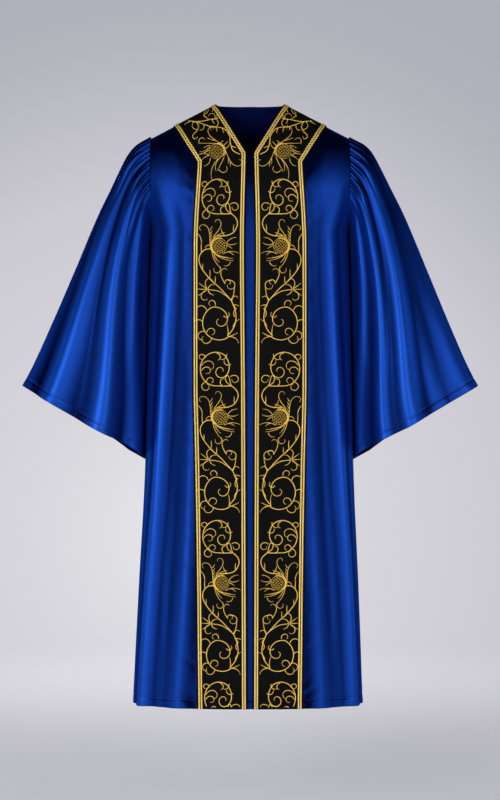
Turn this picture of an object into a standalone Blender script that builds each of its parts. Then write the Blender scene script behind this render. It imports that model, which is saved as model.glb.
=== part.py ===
"""Ceremonial robe, filled out as it is worn: an open-fronted full-length gown with bell sleeves and two trimmed bands.

Metres, +Z up, the front faces -Y, the wearer's left is at +X. The origin is at the base of the neck, midway between
the two neck points. Every piece of cloth is a wall with a thickness; trims are made from the points of what they lie on.
"""

import math
from dataclasses import dataclass, replace

import bmesh
import bpy
import numpy as np

# Cloth
BLUE_WALL = 0.0020
BAND_WALL = 0.0015
BRAID_WALL = 0.0016
SEAM = 0.0003  # clear space between two sewn pieces

# Shoulders, armholes and lengths
NECK_HALF = 0.076
ARMHOLE_X = 0.221
SHOULDER_Z = -0.076
UNDERARM_Z = -0.290
ARMHOLE_HALF_DEPTH = 0.064
HEM_Z = -1.331

# The edge of the front opening: a straight V, then a narrow upright gap
V_END_X = 0.0064
V_END_Z = -0.110
V_END_TURN = 100  # the turn round the armhole of the row that starts at the foot of the V

# The band on each front, and the gold braid that runs inside both of its edges
BAND_TOP_Z = -0.047
BAND_CORNER_X = 0.117
BAND_CORNER_Z = -0.128
BRAID_MARGIN = 0.0035
BRAID_WIDTH = 0.0095
BAND_COLUMNS = 7
UNDERLAP_COLUMNS = 3
BACK_BAND_ROWS = 4

# How the body is rounded, from the neck down to the hem
BODY = dict(
    z=(0.0, -0.022, -0.047, -0.076, -0.110, -0.200, -0.290, -0.560, -0.793, -1.331),
    front=(0.030, 0.048, 0.064, 0.078, 0.089, 0.108, 0.116, 0.121, 0.129, 0.145),
    back=(0.060, 0.064, 0.071, 0.082, 0.096, 0.116, 0.123, 0.126, 0.133, 0.147),
    roundness=(2.4, 2.4, 2.4, 2.4, 2.4, 2.4, 2.42, 2.46, 2.50, 2.60),
)
# Half widths below the armholes, on the wearer's left and right
SKIRT = dict(
    z=(-0.290, -0.560, -0.793, -1.060, -1.331),
    left=(0.221, 0.227, 0.231, 0.241, 0.250),
    right=(0.221, 0.228, 0.234, 0.247, 0.260),
)
# Half of the gap between the fronts, and the outer edge of each band
OPENING = dict(
    z=(V_END_Z, -0.325, -0.660, HEM_Z),
    half_gap=(V_END_X, 0.0100, 0.0075, 0.0055),
)
BAND_EDGE = dict(
    z=(BAND_CORNER_Z, -0.325, -0.795, HEM_Z),
    x=(BAND_CORNER_X, 0.126, 0.125, 0.115),
)

# Rows of a front above the armpit: the turn round the armhole, the height at the opening and at the band's edge
FRONT_ROWS = dict(
    turn=(20, 40, 60, 80, 100, 120, 140, 160, 180),
    edge_z=(-0.022, -0.044, -0.066, -0.088, V_END_Z, -0.155, -0.200, -0.245, UNDERARM_Z),
    band_z=(-0.062, -0.078, -0.095, -0.112, BAND_CORNER_Z, -0.170, -0.212, -0.252, UNDERARM_Z),
)
# Rows of the back above the armpit: the centre's height, then two upright lines that pass the neck and the band's edge
BACK_ROWS = dict(
    turn=(20, 40, 60, 80, 100, 120, 140, 160, 180),
    centre_z=(-0.035, -0.064, -0.076, -0.105, -0.138, -0.172, -0.210, -0.249, UNDERARM_Z),
    neck_x=(0.092, 0.085, 0.081, 0.076, 0.073, 0.071, 0.070, 0.070, 0.070),
    neck_z=(-0.031, -0.061, -0.074, -0.104, -0.138, -0.174, -0.213, -0.251, UNDERARM_Z),
    band_x=(0.160, 0.148, 0.139, 0.135, 0.133, 0.131, 0.130, 0.129, 0.128),
    band_z=(-0.055, -0.067, -0.077, -0.112, -0.150, -0.189, -0.227, -0.260, UNDERARM_Z),
)
LOWER_ROWS_Z = (-0.400, -0.530, -0.660, -0.790, -0.925, -1.060, -1.200, HEM_Z)
SEAM_TURN = 10 / 3  # a row close beside the shoulder seam keeps the cloth square to it
SIDE_STEPS = 11
BACK_SIDE_STEPS = 10
SIDE_SEAM_AT = 0.98  # a column close beside the side seam does the same
NECK_STEPS = 4
BACK_BRAID_STEP = 0.010
BACK_NECK_DROP = 0.004  # how much lower the neckline lies at the middle of the back
BACK_NECK_ROW = 0.007  # from the neckline down to the row below it
BACK_NECK_CORNER = 0.004  # how far past the neck point that row meets the shoulder
WITHIN_SIDE = 0.9995  # keeps that corner's angle just short of the side
BAND_MIDDLE = 0.5

# Soft upright folds: the angle round the body at the armpit and at the hem, the half width, and the height at each
FRONT_FOLDS = dict(
    top_angle=(24, 46, 68),
    hem_angle=(32, 54, 74),
    half_angle=(10, 11, 10),
    top_height=(0.0010, 0.0030, 0.0020),
    hem_height=(0.0070, 0.0085, 0.0075),
)
BACK_FOLDS = dict(
    top_angle=(9, 27, 46, 67),
    hem_angle=(11, 31, 52, 73),
    half_angle=(10, 10, 11, 11),
    top_height=(0.0035, 0.0040, 0.0035, 0.0020),
    hem_height=(0.0100, 0.0115, 0.0105, 0.0080),
)
FOLD_START_Z = -0.250
FOLD_GROWS_OVER = 0.200

# The sleeve: its upper line as it hangs from the shoulder, and its depth from front to back
SLEEVE_TOP = dict(
    x=(0.2238, 0.255, 0.273, 0.291, 0.313, 0.338, 0.388, 0.437, 0.487, 0.505),
    z=(SHOULDER_Z, -0.095, -0.116, -0.150, -0.197, -0.250, -0.371, -0.487, -0.597, -0.630),
)
SLEEVE_INNER_END_Z = -0.790
SLEEVE_CLEAR = 0.008  # how far the hanging sleeve stays off the body's side
SLEEVE_CLEAR_AT = 0.08
SLEEVE_DEPTH = dict(
    along=(0.0, 0.08, 0.20, 0.45, 0.75, 1.0),
    half=(ARMHOLE_HALF_DEPTH, 0.072, 0.079, 0.086, 0.090, 0.088),
)
SEAM_LIP = 0.0025
SLEEVE_RINGS = (0.035, 0.08, 0.14, 0.22, 0.32, 0.43, 0.55, 0.67, 0.79, 0.90, 1.0)
SLEEVE_COLUMNS = 54
HEM_RISE_FRONT = 0.014
HEM_DROP_BACK = 0.011

# Gathers round the cap, then a few large folds that widen to the cuff: the turn round the sleeve at each end
GATHER_TURN = 40 / 3
GATHER_HEIGHT = 0.0022
GATHER_LAST_TURN = 112
GATHER_FADE_TURN = 18
GATHER_LENGTH = 0.34
FOLD_RISES_OVER = 0.10  # share of the sleeve's length
SLEEVE_FOLDS_FRONT = dict(
    cap_turn=(4, 41, 76, 112),
    cuff_turn=(13, 59, 106, 149),
    half_turn=(20, 23, 24, 20),
    cap_height=(0.0015, 0.0030, 0.0035, 0.0030),
    cuff_height=(0.0050, 0.0160, 0.0170, 0.0110),
)
SLEEVE_FOLDS_BACK = dict(
    cap_turn=(34, 66, 100, 128),
    cuff_turn=(36, 78, 117, 154),
    half_turn=(20, 22, 22, 18),
    cap_height=(0.0025, 0.0035, 0.0030, 0.0020),
    cuff_height=(0.0120, 0.0160, 0.0140, 0.0090),
)

COLLECTION = "ceremonial_robe"
FRONT = -1
BACK = 1
LEFT = 1
RIGHT = -1

# Material: base colour, roughness, sheen
BLUE = ("royal_blue_cloth", (0.010, 0.035, 0.300, 1.0), 0.42, 0.6)
BLACK = ("black_band_cloth", (0.006, 0.006, 0.007, 1.0), 0.62, 0.3)
GOLD = ("gold_braid", (0.620, 0.370, 0.080, 1.0), 0.38, 0.0)


def smooth_curve(at, places, values):
    """A curve through the table's values with no corners and no overshoot."""
    places = np.asarray(places, dtype=float)
    values = np.asarray(values, dtype=float)
    if places[0] > places[-1]:
        places = places[::-1]
        values = values[::-1]
    steps = np.diff(places)
    rises = np.diff(values) / steps
    slopes = np.zeros(len(places))
    slopes[0] = rises[0]
    slopes[-1] = rises[-1]
    for i in range(1, len(places) - 1):
        if rises[i - 1] * rises[i] > 0:
            slopes[i] = 2 * rises[i - 1] * rises[i] / (rises[i - 1] + rises[i])
    at = min(max(at, places[0]), places[-1])
    k = min(int(np.searchsorted(places, at, side="right")) - 1, len(steps) - 1)
    t = (at - places[k]) / steps[k]
    from_start = values[k] * (1 + 2 * t) * (1 - t) ** 2 + slopes[k] * steps[k] * t * (1 - t) ** 2
    from_end = values[k + 1] * (3 - 2 * t) * t * t - slopes[k + 1] * steps[k] * (1 - t) * t * t
    return float(from_start + from_end)


def ease(t):
    """0 to 1 with a soft start and end."""
    t = min(max(t, 0.0), 1.0)
    return t * t * (3 - 2 * t)


def mix(a, b, t):
    return a + (b - a) * t


# The armhole is an upright oval at ARMHOLE_X. Its turn is 0 at the shoulder and 180 at the armpit.

def armhole_z(turn):
    middle = (SHOULDER_Z + UNDERARM_Z) / 2
    return middle + (SHOULDER_Z - middle) * math.cos(math.radians(turn))


def armhole_depth(z):
    middle = (SHOULDER_Z + UNDERARM_Z) / 2
    share = (z - middle) / (SHOULDER_Z - middle)
    return ARMHOLE_HALF_DEPTH * math.sqrt(max(0.0, 1 - share * share))


# The body: level rounded sections whose half width and depth change with height

def body_depth(face, z):
    return smooth_curve(z, BODY["z"], BODY["front" if face == FRONT else "back"])


def roundness(z):
    return smooth_curve(z, BODY["z"], BODY["roundness"])


def shoulder_width(z):
    return mix(NECK_HALF, ARMHOLE_X, z / SHOULDER_Z)


def shoulder_height(x):
    return SHOULDER_Z * (x - NECK_HALF) / (ARMHOLE_X - NECK_HALF)


def half_width(face, side, z):
    if z >= SHOULDER_Z:
        return shoulder_width(z)
    if z > UNDERARM_Z:
        power = roundness(z)
        share = (armhole_depth(z) / body_depth(face, z)) ** power
        return ARMHOLE_X / (1 - share) ** (1 / power)
    return smooth_curve(z, SKIRT["z"], SKIRT["left" if side == LEFT else "right"])


def angle_at(face, side, x, z):
    """The angle round the body, 0 at its middle and 90 at its side, where the section is x wide."""
    share = min(1.0, x / half_width(face, side, z))
    return math.degrees(math.asin(share ** (roundness(z) / 2)))


def fold_height(table, angle, z):
    down = ease((FOLD_START_Z - z) / (FOLD_START_Z - HEM_Z))
    total = 0.0
    for top, hem, half, top_height, hem_height in zip(*table.values()):
        away = abs(angle - mix(top, hem, down)) / half
        if away < 1:
            growth = ease((FOLD_START_Z - z) / FOLD_GROWS_OVER)
            total += growth * mix(top_height, hem_height, down) * math.cos(away * math.pi / 2) ** 2
    return total


def body_point(face, side, angle, z):
    power = roundness(z)
    width = half_width(face, side, z)
    depth = body_depth(face, z)
    across = math.sin(math.radians(angle)) ** (2 / power)
    forward = max(0.0, math.cos(math.radians(angle))) ** (2 / power)
    outward = np.array((across ** (power - 1) / width, forward ** (power - 1) / depth))
    outward /= np.linalg.norm(outward)
    lift = fold_height(FRONT_FOLDS if face == FRONT else BACK_FOLDS, angle, z)
    x = width * across + lift * outward[0]
    y = SEAM / 2 + depth * forward + lift * outward[1]
    return np.array((side * x, face * y, z))


def seam_row_point(face, side, x, drop):
    """A point close beside the shoulder seam, on its front or back."""
    away = ARMHOLE_HALF_DEPTH * math.sin(math.radians(SEAM_TURN))
    z = shoulder_height(x)
    power = roundness(z)
    share = 1 - (away / body_depth(face, z)) ** power
    height = shoulder_height(x / share ** (1 / power))
    return np.array((side * x, face * (SEAM / 2 + away), height + drop))


def seam_row_drop():
    """How much lower the row beside the shoulder seam lies where it meets the armhole."""
    plain = seam_row_point(FRONT, LEFT, ARMHOLE_X, 0.0)
    return armhole_z(SEAM_TURN) - plain[2]


def opening_x(z):
    if z >= V_END_Z:
        return mix(NECK_HALF, V_END_X, z / V_END_Z)
    return smooth_curve(z, OPENING["z"], OPENING["half_gap"])


def band_edge_x(z):
    if z >= BAND_CORNER_Z:
        share = (z - BAND_CORNER_Z) / (BAND_TOP_Z - BAND_CORNER_Z)
        return mix(BAND_CORNER_X, shoulder_width(BAND_TOP_Z), share)
    return smooth_curve(z, BAND_EDGE["z"], BAND_EDGE["x"])


def band_shares(width):
    """Where the columns lie across a band: its edges, both edges of each braid, and two between."""
    outer = BRAID_MARGIN / width
    inner = (BRAID_MARGIN + BRAID_WIDTH) / width
    return (0.0, outer, inner, mix(inner, 1 - inner, 1 / 3), mix(inner, 1 - inner, 2 / 3), 1 - inner, 1 - outer, 1.0)


def side_shares(steps):
    return [i / steps for i in range(1, steps)] + [SIDE_SEAM_AT, 1.0]


def front_row(side, edge_z, band_z, arm_z, arm_x):
    """One row of a front from the opening, across the band, to the armhole or the side seam."""
    edge_x = opening_x(edge_z)
    band_x = band_edge_x(band_z)
    row = []
    for share in band_shares(math.hypot(band_x - edge_x, band_z - edge_z)):
        x = mix(edge_x, band_x, share)
        z = mix(edge_z, band_z, share)
        row.append(body_point(FRONT, side, angle_at(FRONT, side, x, z), z))
    start = angle_at(FRONT, side, band_x, band_z)
    end = angle_at(FRONT, side, arm_x, arm_z)
    for share in side_shares(SIDE_STEPS):
        row.append(body_point(FRONT, side, mix(start, end, share), mix(band_z, arm_z, share)))
    return row


def front_shoulder_rows(side):
    """The row on the shoulder seam and the one close beside it."""
    band_x = shoulder_width(BAND_TOP_Z)
    width = math.hypot(band_x - NECK_HALF, BAND_TOP_Z)
    places = [(mix(NECK_HALF, band_x, share), 0.0) for share in band_shares(width)]
    places += [(mix(band_x, ARMHOLE_X, share), share) for share in side_shares(SIDE_STEPS)]
    on_seam = [np.array((side * x, FRONT * SEAM / 2, shoulder_height(x))) for x, share in places]
    beside = [seam_row_point(FRONT, side, x, seam_row_drop() * share ** 2) for x, share in places]
    return [beside, on_seam]


def front_grid(side):
    """Rows of points from the hem up to the shoulder seam."""
    rows = []
    for z in reversed(LOWER_ROWS_Z):
        rows.append(front_row(side, z, z, z, half_width(FRONT, side, z)))
    for turn, edge_z, band_z in list(zip(*FRONT_ROWS.values()))[::-1]:
        rows.append(front_row(side, edge_z, band_z, armhole_z(turn), ARMHOLE_X))
    return np.array(rows + front_shoulder_rows(side))


def back_half_row(side, anchors):
    """One row of the back from its centre to the armhole, through anchors of an angle and a height."""
    centre, neck, band, arm = anchors
    row = [mix(centre, neck, i / NECK_STEPS) for i in range(NECK_STEPS + 1)]
    braid_share = BACK_BRAID_STEP / (shoulder_width(BAND_TOP_Z) - NECK_HALF)
    row += [mix(neck, band, share) for share in (braid_share, BAND_MIDDLE, 1 - braid_share, 1.0)]
    row += [mix(band, arm, share) for share in side_shares(BACK_SIDE_STEPS)]
    return [body_point(BACK, side, angle, z) for angle, z in row]


def back_shoulder_rows(side):
    """The row on the neckline and shoulder seam, and the one close below and beside it."""
    corner_x = NECK_HALF + BACK_NECK_CORNER
    corner_z = shoulder_height(corner_x)
    corner_angle = angle_at(BACK, side, corner_x * WITHIN_SIDE, corner_z)
    top = []
    below = []
    for i in range(NECK_STEPS):
        angle = 90 * i / NECK_STEPS
        rise = ease(i / NECK_STEPS)
        top.append(body_point(BACK, side, angle, mix(-BACK_NECK_DROP, 0.0, rise)))
        low_z = mix(-BACK_NECK_DROP - BACK_NECK_ROW, corner_z, rise)
        below.append(body_point(BACK, side, mix(0, corner_angle, i / NECK_STEPS), low_z))
    band_x = shoulder_width(BAND_TOP_Z)
    braid_share = BACK_BRAID_STEP / (band_x - NECK_HALF)
    band_steps = (0.0, braid_share, BAND_MIDDLE, 1 - braid_share, 1.0)
    places = [(mix(NECK_HALF, band_x, share), 0.0, share) for share in band_steps]
    places += [(mix(band_x, ARMHOLE_X, share), share, 1.0) for share in side_shares(BACK_SIDE_STEPS)]
    for x, share, past_neck in places:
        top.append(np.array((side * x, BACK * SEAM / 2, shoulder_height(x))))
        low_x = x + (corner_x - NECK_HALF) * (1 - past_neck)
        below.append(seam_row_point(BACK, side, low_x, seam_row_drop() * share ** 2))
    return [below, top]


def back_grid():
    """Rows of points from the hem up to the neckline and shoulder seams, from the wearer's left to the right."""
    halves = {}
    for side in (LEFT, RIGHT):
        rows = []
        neck_angle = angle_at(BACK, side, BACK_ROWS["neck_x"][-1], UNDERARM_Z)
        band_angle = angle_at(BACK, side, BACK_ROWS["band_x"][-1], UNDERARM_Z)
        for z in reversed(LOWER_ROWS_Z):
            anchors = [np.array((angle, z)) for angle in (0.0, neck_angle, band_angle, 90.0)]
            rows.append(back_half_row(side, anchors))
        for turn, centre_z, neck_x, neck_z, band_x, band_z in list(zip(*BACK_ROWS.values()))[::-1]:
            arm_z = armhole_z(turn)
            anchors = (
                np.array((0.0, centre_z)),
                np.array((angle_at(BACK, side, neck_x, neck_z), neck_z)),
                np.array((angle_at(BACK, side, band_x, band_z), band_z)),
                np.array((angle_at(BACK, side, ARMHOLE_X, arm_z), arm_z)),
            )
            rows.append(back_half_row(side, anchors))
        halves[side] = np.array(rows + back_shoulder_rows(side))
    return np.concatenate((halves[LEFT][:, :0:-1], halves[RIGHT]), axis=1)


# The sleeve: a tube of rings from the armhole to the cuff. Its turn is 0 on the upper line and 180 beside the body.

def sleeve_top(along):
    points = np.array((SLEEVE_TOP["x"], SLEEVE_TOP["z"])).T
    lengths = np.concatenate(((0.0,), np.cumsum(np.linalg.norm(np.diff(points, axis=0), axis=1))))
    at = along * lengths[-1]
    return np.array((smooth_curve(at, lengths, points[:, 0]), smooth_curve(at, lengths, points[:, 1])))


def sleeve_under(side, along):
    z = mix(UNDERARM_Z, SLEEVE_INNER_END_Z, along)
    clear = mix(SEAM + SEAM_LIP, SLEEVE_CLEAR, ease(along / SLEEVE_CLEAR_AT))
    return np.array((half_width(FRONT, side, z) + clear, z))


def sleeve_fold(face, turn, along):
    table = SLEEVE_FOLDS_FRONT if face == FRONT else SLEEVE_FOLDS_BACK
    total = 0.0
    for cap, cuff, half, cap_height, cuff_height in zip(*table.values()):
        away = abs(turn - mix(cap, cuff, ease(along))) / half
        if away < 1:
            growth = ease(along / FOLD_RISES_OVER)
            total += growth * mix(cap_height, cuff_height, along) * math.cos(away * math.pi / 2) ** 2
    gathered = ease((GATHER_LAST_TURN - turn) / GATHER_FADE_TURN) * ease((GATHER_LENGTH - along) / GATHER_LENGTH)
    return total + GATHER_HEIGHT * gathered * math.cos(2 * math.pi * turn / GATHER_TURN)


def sleeve_point(side, face, turn, along):
    top = sleeve_top(along)
    under = sleeve_under(side, along)
    centre = (top + under) / 2
    reach = (top - under) / 2
    length = np.linalg.norm(reach)
    depth = smooth_curve(along, SLEEVE_DEPTH["along"], SLEEVE_DEPTH["half"])
    up = math.cos(math.radians(turn))
    out = math.sin(math.radians(turn))
    normal = np.array((up / length, out / depth))
    normal /= np.linalg.norm(normal)
    lift = sleeve_fold(face, turn, along)
    x, z = centre + reach * up + reach / length * normal[0] * lift
    y = depth * out + normal[1] * lift
    z += along ** 2 * out * (HEM_RISE_FRONT if face == FRONT else -HEM_DROP_BACK)
    return np.array((side * x, face * y, z))


def armhole_edge_point(face, turn):
    """A point on the straight runs between the panel's own points round the armhole."""
    turns = np.array((0, SEAM_TURN) + FRONT_ROWS["turn"])
    heights = [armhole_z(t) for t in turns]
    depths = [ARMHOLE_HALF_DEPTH * math.sin(math.radians(t)) for t in turns]
    return face * float(np.interp(turn, turns, depths)), float(np.interp(turn, turns, heights))


def sleeve_grid(side):
    turns = []
    for i in range(SLEEVE_COLUMNS):
        turn = 360 * i / SLEEVE_COLUMNS
        turns.append((FRONT, turn) if turn <= 180 else (BACK, 360 - turn))
    rows = []
    for x in (ARMHOLE_X + SEAM, ARMHOLE_X + SEAM + SEAM_LIP):
        rows.append([np.array((side * x, *armhole_edge_point(face, turn))) for face, turn in turns])
    for along in SLEEVE_RINGS:
        rows.append([sleeve_point(side, face, turn, along) for face, turn in turns])
    return np.array(rows)


# Turning rows of points into cloth

@dataclass
class Sheet:
    """Rows of points on the outer face of a piece, and how the cells between them are faced."""

    rows: np.ndarray
    closed: bool = False  # the last column joins the first
    flip: bool = False  # the rows run the other way round, as on the wearer's right
    turned_from: int = 10_000  # from this column on, cells are split along their other diagonal

    def columns(self):
        return self.rows.shape[1] if self.closed else self.rows.shape[1] - 1

    def triangles(self, row, column):
        following = (column + 1) % self.rows.shape[1]
        a, b = (row, column), (row, following)
        c, d = (row + 1, following), (row + 1, column)
        pair = ((a, b, d), (b, c, d)) if column >= self.turned_from else ((a, b, c), (a, c, d))
        return [corners[::-1] if self.flip else corners for corners in pair]

    def outward_steps(self):
        """The step at each point that moves every triangle there out by one, whatever the bend between them."""
        areas = np.zeros_like(self.rows)
        facings = [[[] for _ in row] for row in self.rows]
        for row in range(self.rows.shape[0] - 1):
            for column in range(self.columns()):
                for corners in self.triangles(row, column):
                    p, q, r = (self.rows[corner] for corner in corners)
                    area = np.cross(q - p, r - p)
                    for corner in corners:
                        areas[corner] += area
                        facings[corner[0]][corner[1]].append(area / np.linalg.norm(area))
        steps = areas / np.linalg.norm(areas, axis=2, keepdims=True)
        for row, column in np.ndindex(self.rows.shape[:2]):
            steps[row, column] /= np.mean(np.array(facings[row][column]) @ steps[row, column])
        return steps

    def moved_out(self, distance):
        return replace(self, rows=self.rows + distance * self.outward_steps())


def material(name, colour, roughness_value, sheen):
    made = bpy.data.materials.new(name)
    made.use_nodes = True
    shader = made.node_tree.nodes["Principled BSDF"]
    shader.inputs["Base Color"].default_value = colour
    shader.inputs["Roughness"].default_value = roughness_value
    shader.inputs["Sheen Weight"].default_value = sheen
    shader.inputs["Metallic"].default_value = 0.7 if name == GOLD[0] else 0.0
    made.diffuse_color = colour
    return made


def cloth(name, sheet, wall, finish, keep=None):
    """A wall of cloth behind a sheet. keep(row, column) says which of its cells belong to the piece."""
    shape = bmesh.new()
    points = {}
    for row in range(sheet.rows.shape[0] - 1):
        for column in range(sheet.columns()):
            if keep and not keep(row, column):
                continue
            for corners in sheet.triangles(row, column):
                for corner in corners:
                    if corner not in points:
                        points[corner] = shape.verts.new(sheet.rows[corner])
                shape.faces.new([points[corner] for corner in corners])
    mesh = bpy.data.meshes.new(name)
    shape.to_mesh(mesh)
    shape.free()
    mesh.shade_smooth()
    mesh.materials.append(material(name + "_" + finish[0], *finish[1:]))
    piece = bpy.data.objects.new(name, mesh)
    bpy.data.collections[COLLECTION].objects.link(piece)
    thickness = piece.modifiers.new("wall", "SOLIDIFY")
    thickness.thickness = wall
    thickness.offset = -1
    thickness.use_even_offset = True
    return piece


# The pieces

def make_fronts():
    """Each front with its band and two braids. Gives both fronts' sheets for the strip behind the opening."""
    fronts = {}
    for side, word in ((LEFT, "left"), (RIGHT, "right")):
        front = Sheet(front_grid(side), flip=side == RIGHT)
        fronts[side] = front
        cloth("front_" + word, front, BLUE_WALL, BLUE)
        band = front.moved_out(SEAM + BAND_WALL)
        braid = front.moved_out(2 * SEAM + BAND_WALL + BRAID_WALL)
        cloth("band_" + word, band, BAND_WALL, BLACK, keep=lambda row, column: column < BAND_COLUMNS)
        cloth("braid_inner_" + word, braid, BRAID_WALL, GOLD, keep=lambda row, column: column == 1)
        cloth("braid_outer_" + word, braid, BRAID_WALL, GOLD, keep=lambda row, column: column == BAND_COLUMNS - 2)
    return fronts


def make_underlap(fronts):
    """The blue strip behind the opening, from the hem to the foot of the V."""
    count = len(LOWER_ROWS_Z) + len([turn for turn in FRONT_ROWS["turn"] if turn >= V_END_TURN])
    left, right = (
        fronts[side].moved_out(-(BLUE_WALL + SEAM)).rows[:count, :UNDERLAP_COLUMNS] for side in (LEFT, RIGHT)
    )
    strip = Sheet(np.concatenate((right[:, ::-1], left), axis=1), turned_from=UNDERLAP_COLUMNS)
    cloth("front_underlap", strip, BLUE_WALL, BLUE)


def make_back():
    """The back, with the band that follows the neckline from shoulder to shoulder and its two braids."""
    grid = back_grid()
    centre = grid.shape[1] // 2
    top = grid.shape[0] - 2
    foot = top - BACK_BAND_ROWS + 1
    edge = NECK_STEPS + 4
    back = Sheet(grid, turned_from=centre)

    def in_band(row, column):
        return row >= foot and centre - edge <= column < centre + edge

    def by_neck(row, column):
        return row == top and centre - NECK_STEPS - 1 <= column < centre + NECK_STEPS + 1

    def by_outer_edge(row, column):
        ends = column in (centre - edge, centre + edge - 1)
        return in_band(row, column) and (ends or row == foot)

    cloth("back_panel", back, BLUE_WALL, BLUE)
    cloth("band_back_neck", back.moved_out(SEAM + BAND_WALL), BAND_WALL, BLACK, keep=in_band)
    braid = back.moved_out(2 * SEAM + BAND_WALL + BRAID_WALL)
    cloth("braid_back_neck", braid, BRAID_WALL, GOLD, keep=by_neck)
    cloth("braid_back_outer", braid, BRAID_WALL, GOLD, keep=by_outer_edge)


def make_sleeves():
    for side, word in ((LEFT, "left"), (RIGHT, "right")):
        cloth("sleeve_" + word, Sheet(sleeve_grid(side), closed=True, flip=side == RIGHT), BLUE_WALL, BLUE)


def main():
    for thing in list(bpy.data.objects):
        bpy.data.objects.remove(thing, do_unlink=True)
    group = bpy.data.collections.new(COLLECTION)
    bpy.context.scene.collection.children.link(group)
    fronts = make_fronts()
    make_underlap(fronts)
    make_back()
    make_sleeves()


main()
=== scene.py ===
"""Looks of the ceremonial robe: blue satin velvet, black bands with gold braid and gold scroll embroidery.

Metres, +Z up, the front faces -Y, the wearer's left is at +X. The origin is at the base of the neck.
Each panel follows the form of the solid that it stands for, on a finer grid, with deeper folds and more
creases.
"""

import math

import bpy
import numpy as np
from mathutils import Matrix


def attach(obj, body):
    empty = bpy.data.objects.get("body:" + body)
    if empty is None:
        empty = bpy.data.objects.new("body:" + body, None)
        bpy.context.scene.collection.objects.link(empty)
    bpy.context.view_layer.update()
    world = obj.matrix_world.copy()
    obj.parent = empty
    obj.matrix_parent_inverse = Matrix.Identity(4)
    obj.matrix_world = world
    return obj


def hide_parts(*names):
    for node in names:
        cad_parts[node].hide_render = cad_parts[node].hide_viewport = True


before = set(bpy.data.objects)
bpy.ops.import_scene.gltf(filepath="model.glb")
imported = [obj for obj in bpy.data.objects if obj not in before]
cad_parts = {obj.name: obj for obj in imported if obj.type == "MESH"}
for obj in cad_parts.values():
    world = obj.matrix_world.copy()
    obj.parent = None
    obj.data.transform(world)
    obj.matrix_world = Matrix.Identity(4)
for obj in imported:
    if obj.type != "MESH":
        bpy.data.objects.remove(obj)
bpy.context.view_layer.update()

FRONT = -1
BACK = 1
LEFT = 1
RIGHT = -1
SIDE_WORDS = {LEFT: "left", RIGHT: "right"}

# Cloth
BLUE_WALL = 0.0020
BAND_WALL = 0.0015
SEAM = 0.0003  # clear space between two sewn pieces
SIDE_GAP = 0.00004  # between the front and the back at the side seams

# Shoulders, armholes and lengths
NECK_HALF = 0.076
ARMHOLE_X = 0.221
SHOULDER_Z = -0.076
UNDERARM_Z = -0.290
ARMHOLE_HALF_DEPTH = 0.064
HEM_Z = -1.331

# The edge of the front opening: a straight V, then a narrow upright gap
V_END_X = 0.0064
V_END_Z = -0.1175
V_END_TURN = 100  # the turn round the armhole of the row at the foot of the V

# The band on each front and the gold braid that runs inside both of its edges
BAND_TOP_Z = -0.050
BAND_CORNER_X = 0.117
BAND_CORNER_Z = -0.138
BACK_BAND_TURN = 60
ROPE_PLACES = (0.0052, 0.0102)  # how far the braid's two cords run inside the band's edge

# How the body is rounded, from the neck down to the hem
BODY = dict(
    z=(0.0, -0.022, -0.047, -0.076, -0.110, -0.200, -0.290, -0.560, -0.793, -1.331),
    front=(0.030, 0.048, 0.064, 0.078, 0.089, 0.108, 0.116, 0.121, 0.129, 0.145),
    back=(0.060, 0.064, 0.071, 0.082, 0.096, 0.116, 0.123, 0.126, 0.133, 0.147),
    roundness=(2.4, 2.4, 2.4, 2.4, 2.4, 2.4, 2.42, 2.46, 2.50, 2.60),
)
SKIRT = dict(
    z=(-0.290, -0.560, -0.793, -1.060, -1.331),
    left=(0.221, 0.227, 0.231, 0.241, 0.250),
    right=(0.221, 0.228, 0.234, 0.247, 0.260),
)
OPENING = dict(
    z=(V_END_Z, -0.325, -0.660, HEM_Z),
    half_gap=(V_END_X, 0.0100, 0.0075, 0.0055),
)
BAND_EDGE = dict(
    z=(BAND_CORNER_Z, -0.325, -0.620, -0.790, -1.073, HEM_Z),
    x=(BAND_CORNER_X, 0.126, 0.1255, 0.1222, 0.1180, 0.115),
)

# Where a panel's rows run above the armpit, against the turn round the armhole
FRONT_ROWS = dict(
    turn=(20, 40, 60, 80, 100, 120, 140, 160, 180),
    edge_z=(-0.0235, -0.047, -0.0705, -0.094, V_END_Z, -0.159, -0.202, -0.246, UNDERARM_Z),
    band_z=(-0.067, -0.085, -0.103, -0.121, BAND_CORNER_Z, -0.177, -0.216, -0.253, UNDERARM_Z),
)
BACK_ROWS = dict(
    turn=(20, 40, 60, 80, 100, 120, 140, 160, 180),
    centre_z=(-0.035, -0.064, -0.076, -0.105, -0.138, -0.172, -0.210, -0.249, UNDERARM_Z),
    neck_x=(0.092, 0.085, 0.081, 0.076, 0.073, 0.071, 0.070, 0.070, 0.070),
    neck_z=(-0.031, -0.061, -0.074, -0.104, -0.138, -0.174, -0.213, -0.251, UNDERARM_Z),
    band_x=(0.160, 0.148, 0.139, 0.135, 0.133, 0.131, 0.130, 0.129, 0.128),
    band_z=(-0.055, -0.067, -0.077, -0.112, -0.150, -0.189, -0.227, -0.260, UNDERARM_Z),
)
SEAM_POWER = 2.4  # how a row close to the shoulder seam drops with its turn
BACK_NECK_RISE = 0.005  # the middle of the back neckline above the neck points

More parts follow.
